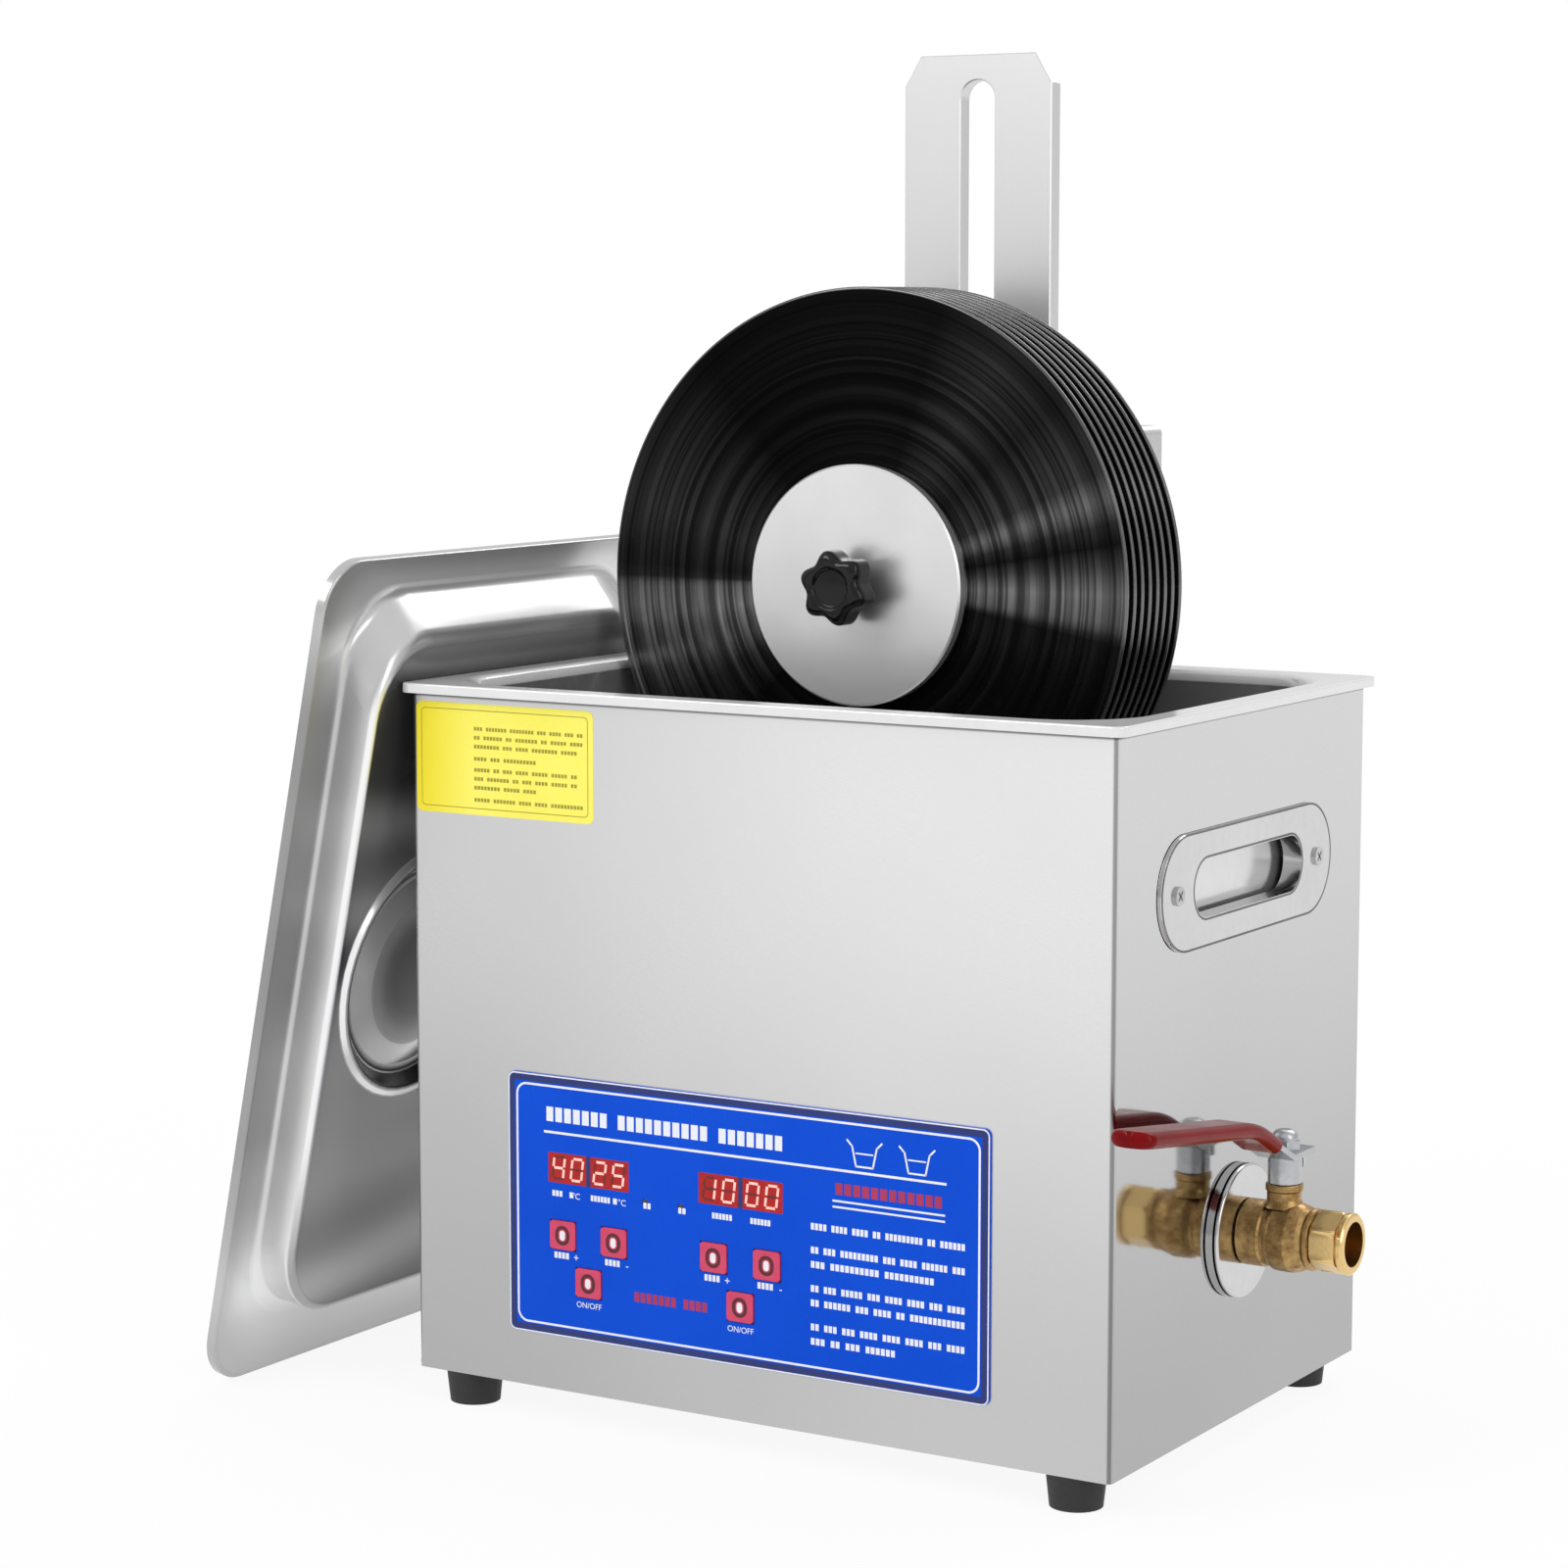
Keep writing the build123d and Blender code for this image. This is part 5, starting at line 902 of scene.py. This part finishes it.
def lettering(name, words, y, thickness, ink):
    # plain words as closed meshes standing upright on the front: (text, size, x, z)
    whole = bmesh.new()
    for text, size, x, z in words:
        curve = bpy.data.curves.new(name, "FONT")
        curve.body, curve.size, curve.align_x, curve.extrude = text, size * mm, "CENTER", thickness * mm
        helper = bpy.data.objects.new(name, curve)
        link(helper)
        bpy.context.view_layer.update()
        mesh = bpy.data.meshes.new_from_object(helper.evaluated_get(bpy.context.evaluated_depsgraph_get()))
        mesh.transform(Matrix.Translation((x * mm, y * mm, z * mm)) @ Matrix.Rotation(pi / 2, 4, "X"))
        whole.from_mesh(mesh)
        bpy.data.objects.remove(helper)
        bpy.data.meshes.remove(mesh)
    bmesh.ops.remove_doubles(whole, verts=whole.verts, dist=weldGap)
    bmesh.ops.recalc_face_normals(whole, faces=whole.faces)
    mesh = bpy.data.meshes.new(name)
    whole.to_mesh(mesh)
    whole.free()
    placePiece(name, mesh, finish[ink], "machine")


labels = [("ON/OFF", 3.4, -75.0, 36.6), ("ON/OFF", 3.4, -2.0, 36.6), ("+", 4.6, -81.2, 55.4), ("-", 4.6, -56.2, 55.4),
          ("+", 4.6, -8.2, 55.4), ("-", 4.6, 16.8, 55.4), ("°C", 3.6, -81.0, 81.4), ("°C", 3.6, -58.6, 81.4)]
lettering("panelLabels", labels, panel["front"], panel["ink"], "whiteInk")
marks = []
for x in (-88.0, -63.0, -15.0, 10.0):
    marks += wordBars([4], x - 4.2, x + 3.4, 55.8, 2.6, sunk, panel["ink"])
printPiece("panelKeyWords", marks, panel["front"], "whiteInk")
print("panel made")


# yellow sticker

# lines: height as a share of the sticker's, and the letters of each word
sticker = dict(left=-160.0, right=-72.0, bottom=236.0, top=281.7, corner=3.0, front=-115.0, thick=0.12,
               margin=29.0, lines=[
                   (0.78, [3, 7, 8, 3, 4, 3, 2]), (0.70, [2, 6, 2, 7, 2, 5, 4]), (0.62, [8, 3, 4, 8, 5]),
                   (0.51, [4, 3, 10]), (0.41, [5, 2, 3, 4, 5, 5, 2]), (0.33, [3, 7, 2, 3, 4, 5, 2]),
                   (0.25, [8, 5, 4]), (0.14, [5, 7, 4, 4, 10])])


def makeStickerPieces(d):
    x, z = (d["left"] + d["right"]) / 2, (d["bottom"] + d["top"]) / 2
    width, height, left = d["right"] - d["left"], d["top"] - d["bottom"], d["left"] + d["margin"]
    sheet = plate(width, height, d["corner"], x, z, 0.0, d["thick"], 6)
    printPiece("stickerSheet", [sheet], d["front"], "stickerYellow")
    low, high = d["thick"] - 0.01, d["thick"] + 0.03
    grids = [outlinePlate(width - 5.0, height - 5.0, 2.0, 0.35, x, z, low, high)]
    for share, words in d["lines"]:
        right = left + min(54.0, 1.55 * (sum(words) + len(words)))
        grids += wordBars(words, left, right, d["bottom"] + share * height - 0.9, 1.5, low, high)
    printPiece("stickerLines", grids, d["front"], "stickerOlive")


makeStickerPieces(sticker)
print("sticker made")


# floor, world, lamps and camera

studio = dict(floorZ=-0.014, floorSize=6.0, floorTone=0.86, shadowShare=0.1, shadowFade=(0.35, 1.1), strength=0.82,
              sky=[(0.3, 0.62), (0.85, 1.0), (0.5, 0.82)])


def makeFloor(d):
    # pale floor; where the camera or a mirror sees it, it is mostly plain white, with the soft shadow left in
    floor = bpy.data.meshes.new("studioFloor")
    s, z = d["floorSize"], d["floorZ"]
    floor.from_pydata([(-s, -s, z), (s, -s, z), (s, s, z), (-s, s, z)], [], [(0, 1, 2, 3)])
    material, tree, shader = newMaterial("studioFloor", {
        "Base Color": rgba(d["floorTone"]), "Roughness": 0.9, "Specular IOR Level": 0.1})
    white = addNode(tree, "Emission", {"Strength": 1.0})
    path = addNode(tree, "LightPath")
    direct = reckon(tree, "MAXIMUM", (path, "Is Camera Ray"), (path, "Is Glossy Ray"))
    seen = reckon(tree, "MAXIMUM", (direct, 0), (path, "Is Transmission Ray"))
    away = addNode(tree, "VectorMath", {0: (addNode(tree, "TexCoord"), "Object")}, operation="LENGTH")
    fade = spread(tree, (away, "Value"), *d["shadowFade"], 1.0 - d["shadowShare"], 1.0)
    factor = reckon(tree, "MULTIPLY", (seen, 0), (fade, 0))
    mix = addNode(tree, "MixShader", {0: (factor, 0), 1: (shader, 0), 2: (white, 0)})
    feed(tree, tree.nodes["Material Output"], "Surface", (mix, 0))
    floor.materials.append(material)
    obj = bpy.data.objects.new("studioFloor", floor)
    link(obj)


def makeWorld(d):
    # brightness by height, from ground to zenith; plain white where the camera looks past the object
    world = bpy.data.worlds.new("studio")
    bpy.context.scene.world = world
    world.use_nodes = True
    tree = world.node_tree
    soft = tree.nodes["Background"]
    axes = addNode(tree, "SeparateXYZ", {0: (addNode(tree, "TexCoord"), "Generated")})
    height = spread(tree, (axes, "Z"), -1.0, 1.0, way="LINEAR")
    feed(tree, soft, "Color", (greyRamp(tree, (height, 0), d["sky"]), 0))
    feed(tree, soft, "Strength", d["strength"])
    white = addNode(tree, "Background", {"Color": rgba(1.0), "Strength": 1.0})
    path = addNode(tree, "LightPath")
    seen = reckon(tree, "MAXIMUM", (path, "Is Camera Ray"), (path, "Is Transmission Ray"))
    mix = addNode(tree, "MixShader", {0: (seen, 0), 1: (soft, 0), 2: (white, 0)})
    feed(tree, tree.nodes["World Output"], "Surface", (mix, 0))


lamps = {
    "keyLamp": dict(at=(-0.9, -1.5, 1.5), size=(1.0, 1.0), power=16.0),
    "sideLamp": dict(at=(1.7, -0.5, 1.0), size=(0.6, 1.4), power=6.0),
    "backLamp": dict(at=(0.3, 1.5, 1.6), size=(1.2, 0.6), power=10.0),
}
lampAim = Vector((0, 0, 0.22))


def makeLamps(lamps):
    for name, d in lamps.items():
        light = bpy.data.lights.new(name, "AREA")
        light.shape, light.size, light.size_y, light.energy = "RECTANGLE", *d["size"], d["power"]
        obj = bpy.data.objects.new(name, light)
        obj.location = d["at"]
        obj.rotation_euler = (lampAim - obj.location).to_track_quat("-Z", "Y").to_euler()
        link(obj)


view = dict(azimuth=31.497, elevation=6.954, distance=1.6447, sideways=-0.04498, height=0.24509, lens=90.57,
            sensor=36.0)


def makeCamera(d):
    az, el = radians(d["azimuth"]), radians(d["elevation"])
    back = Vector((sin(az) * cos(el), -cos(az) * cos(el), sin(el)))
    right = Vector((cos(az), sin(az), 0.0))
    data = bpy.data.cameras.new("mainView")
    data.lens, data.sensor_width = d["lens"], d["sensor"]
    camera = bpy.data.objects.new("mainView", data)
    camera.location = back * d["distance"] + right * d["sideways"] + Vector((0, 0, d["height"]))
    camera.rotation_euler = (pi / 2 - el, 0.0, az)
    link(camera)
    bpy.context.scene.camera = camera


makeFloor(studio)
makeWorld(studio)
makeLamps(lamps)
makeCamera(view)
bpy.context.scene.view_settings.view_transform = "Standard"
print("studio made")
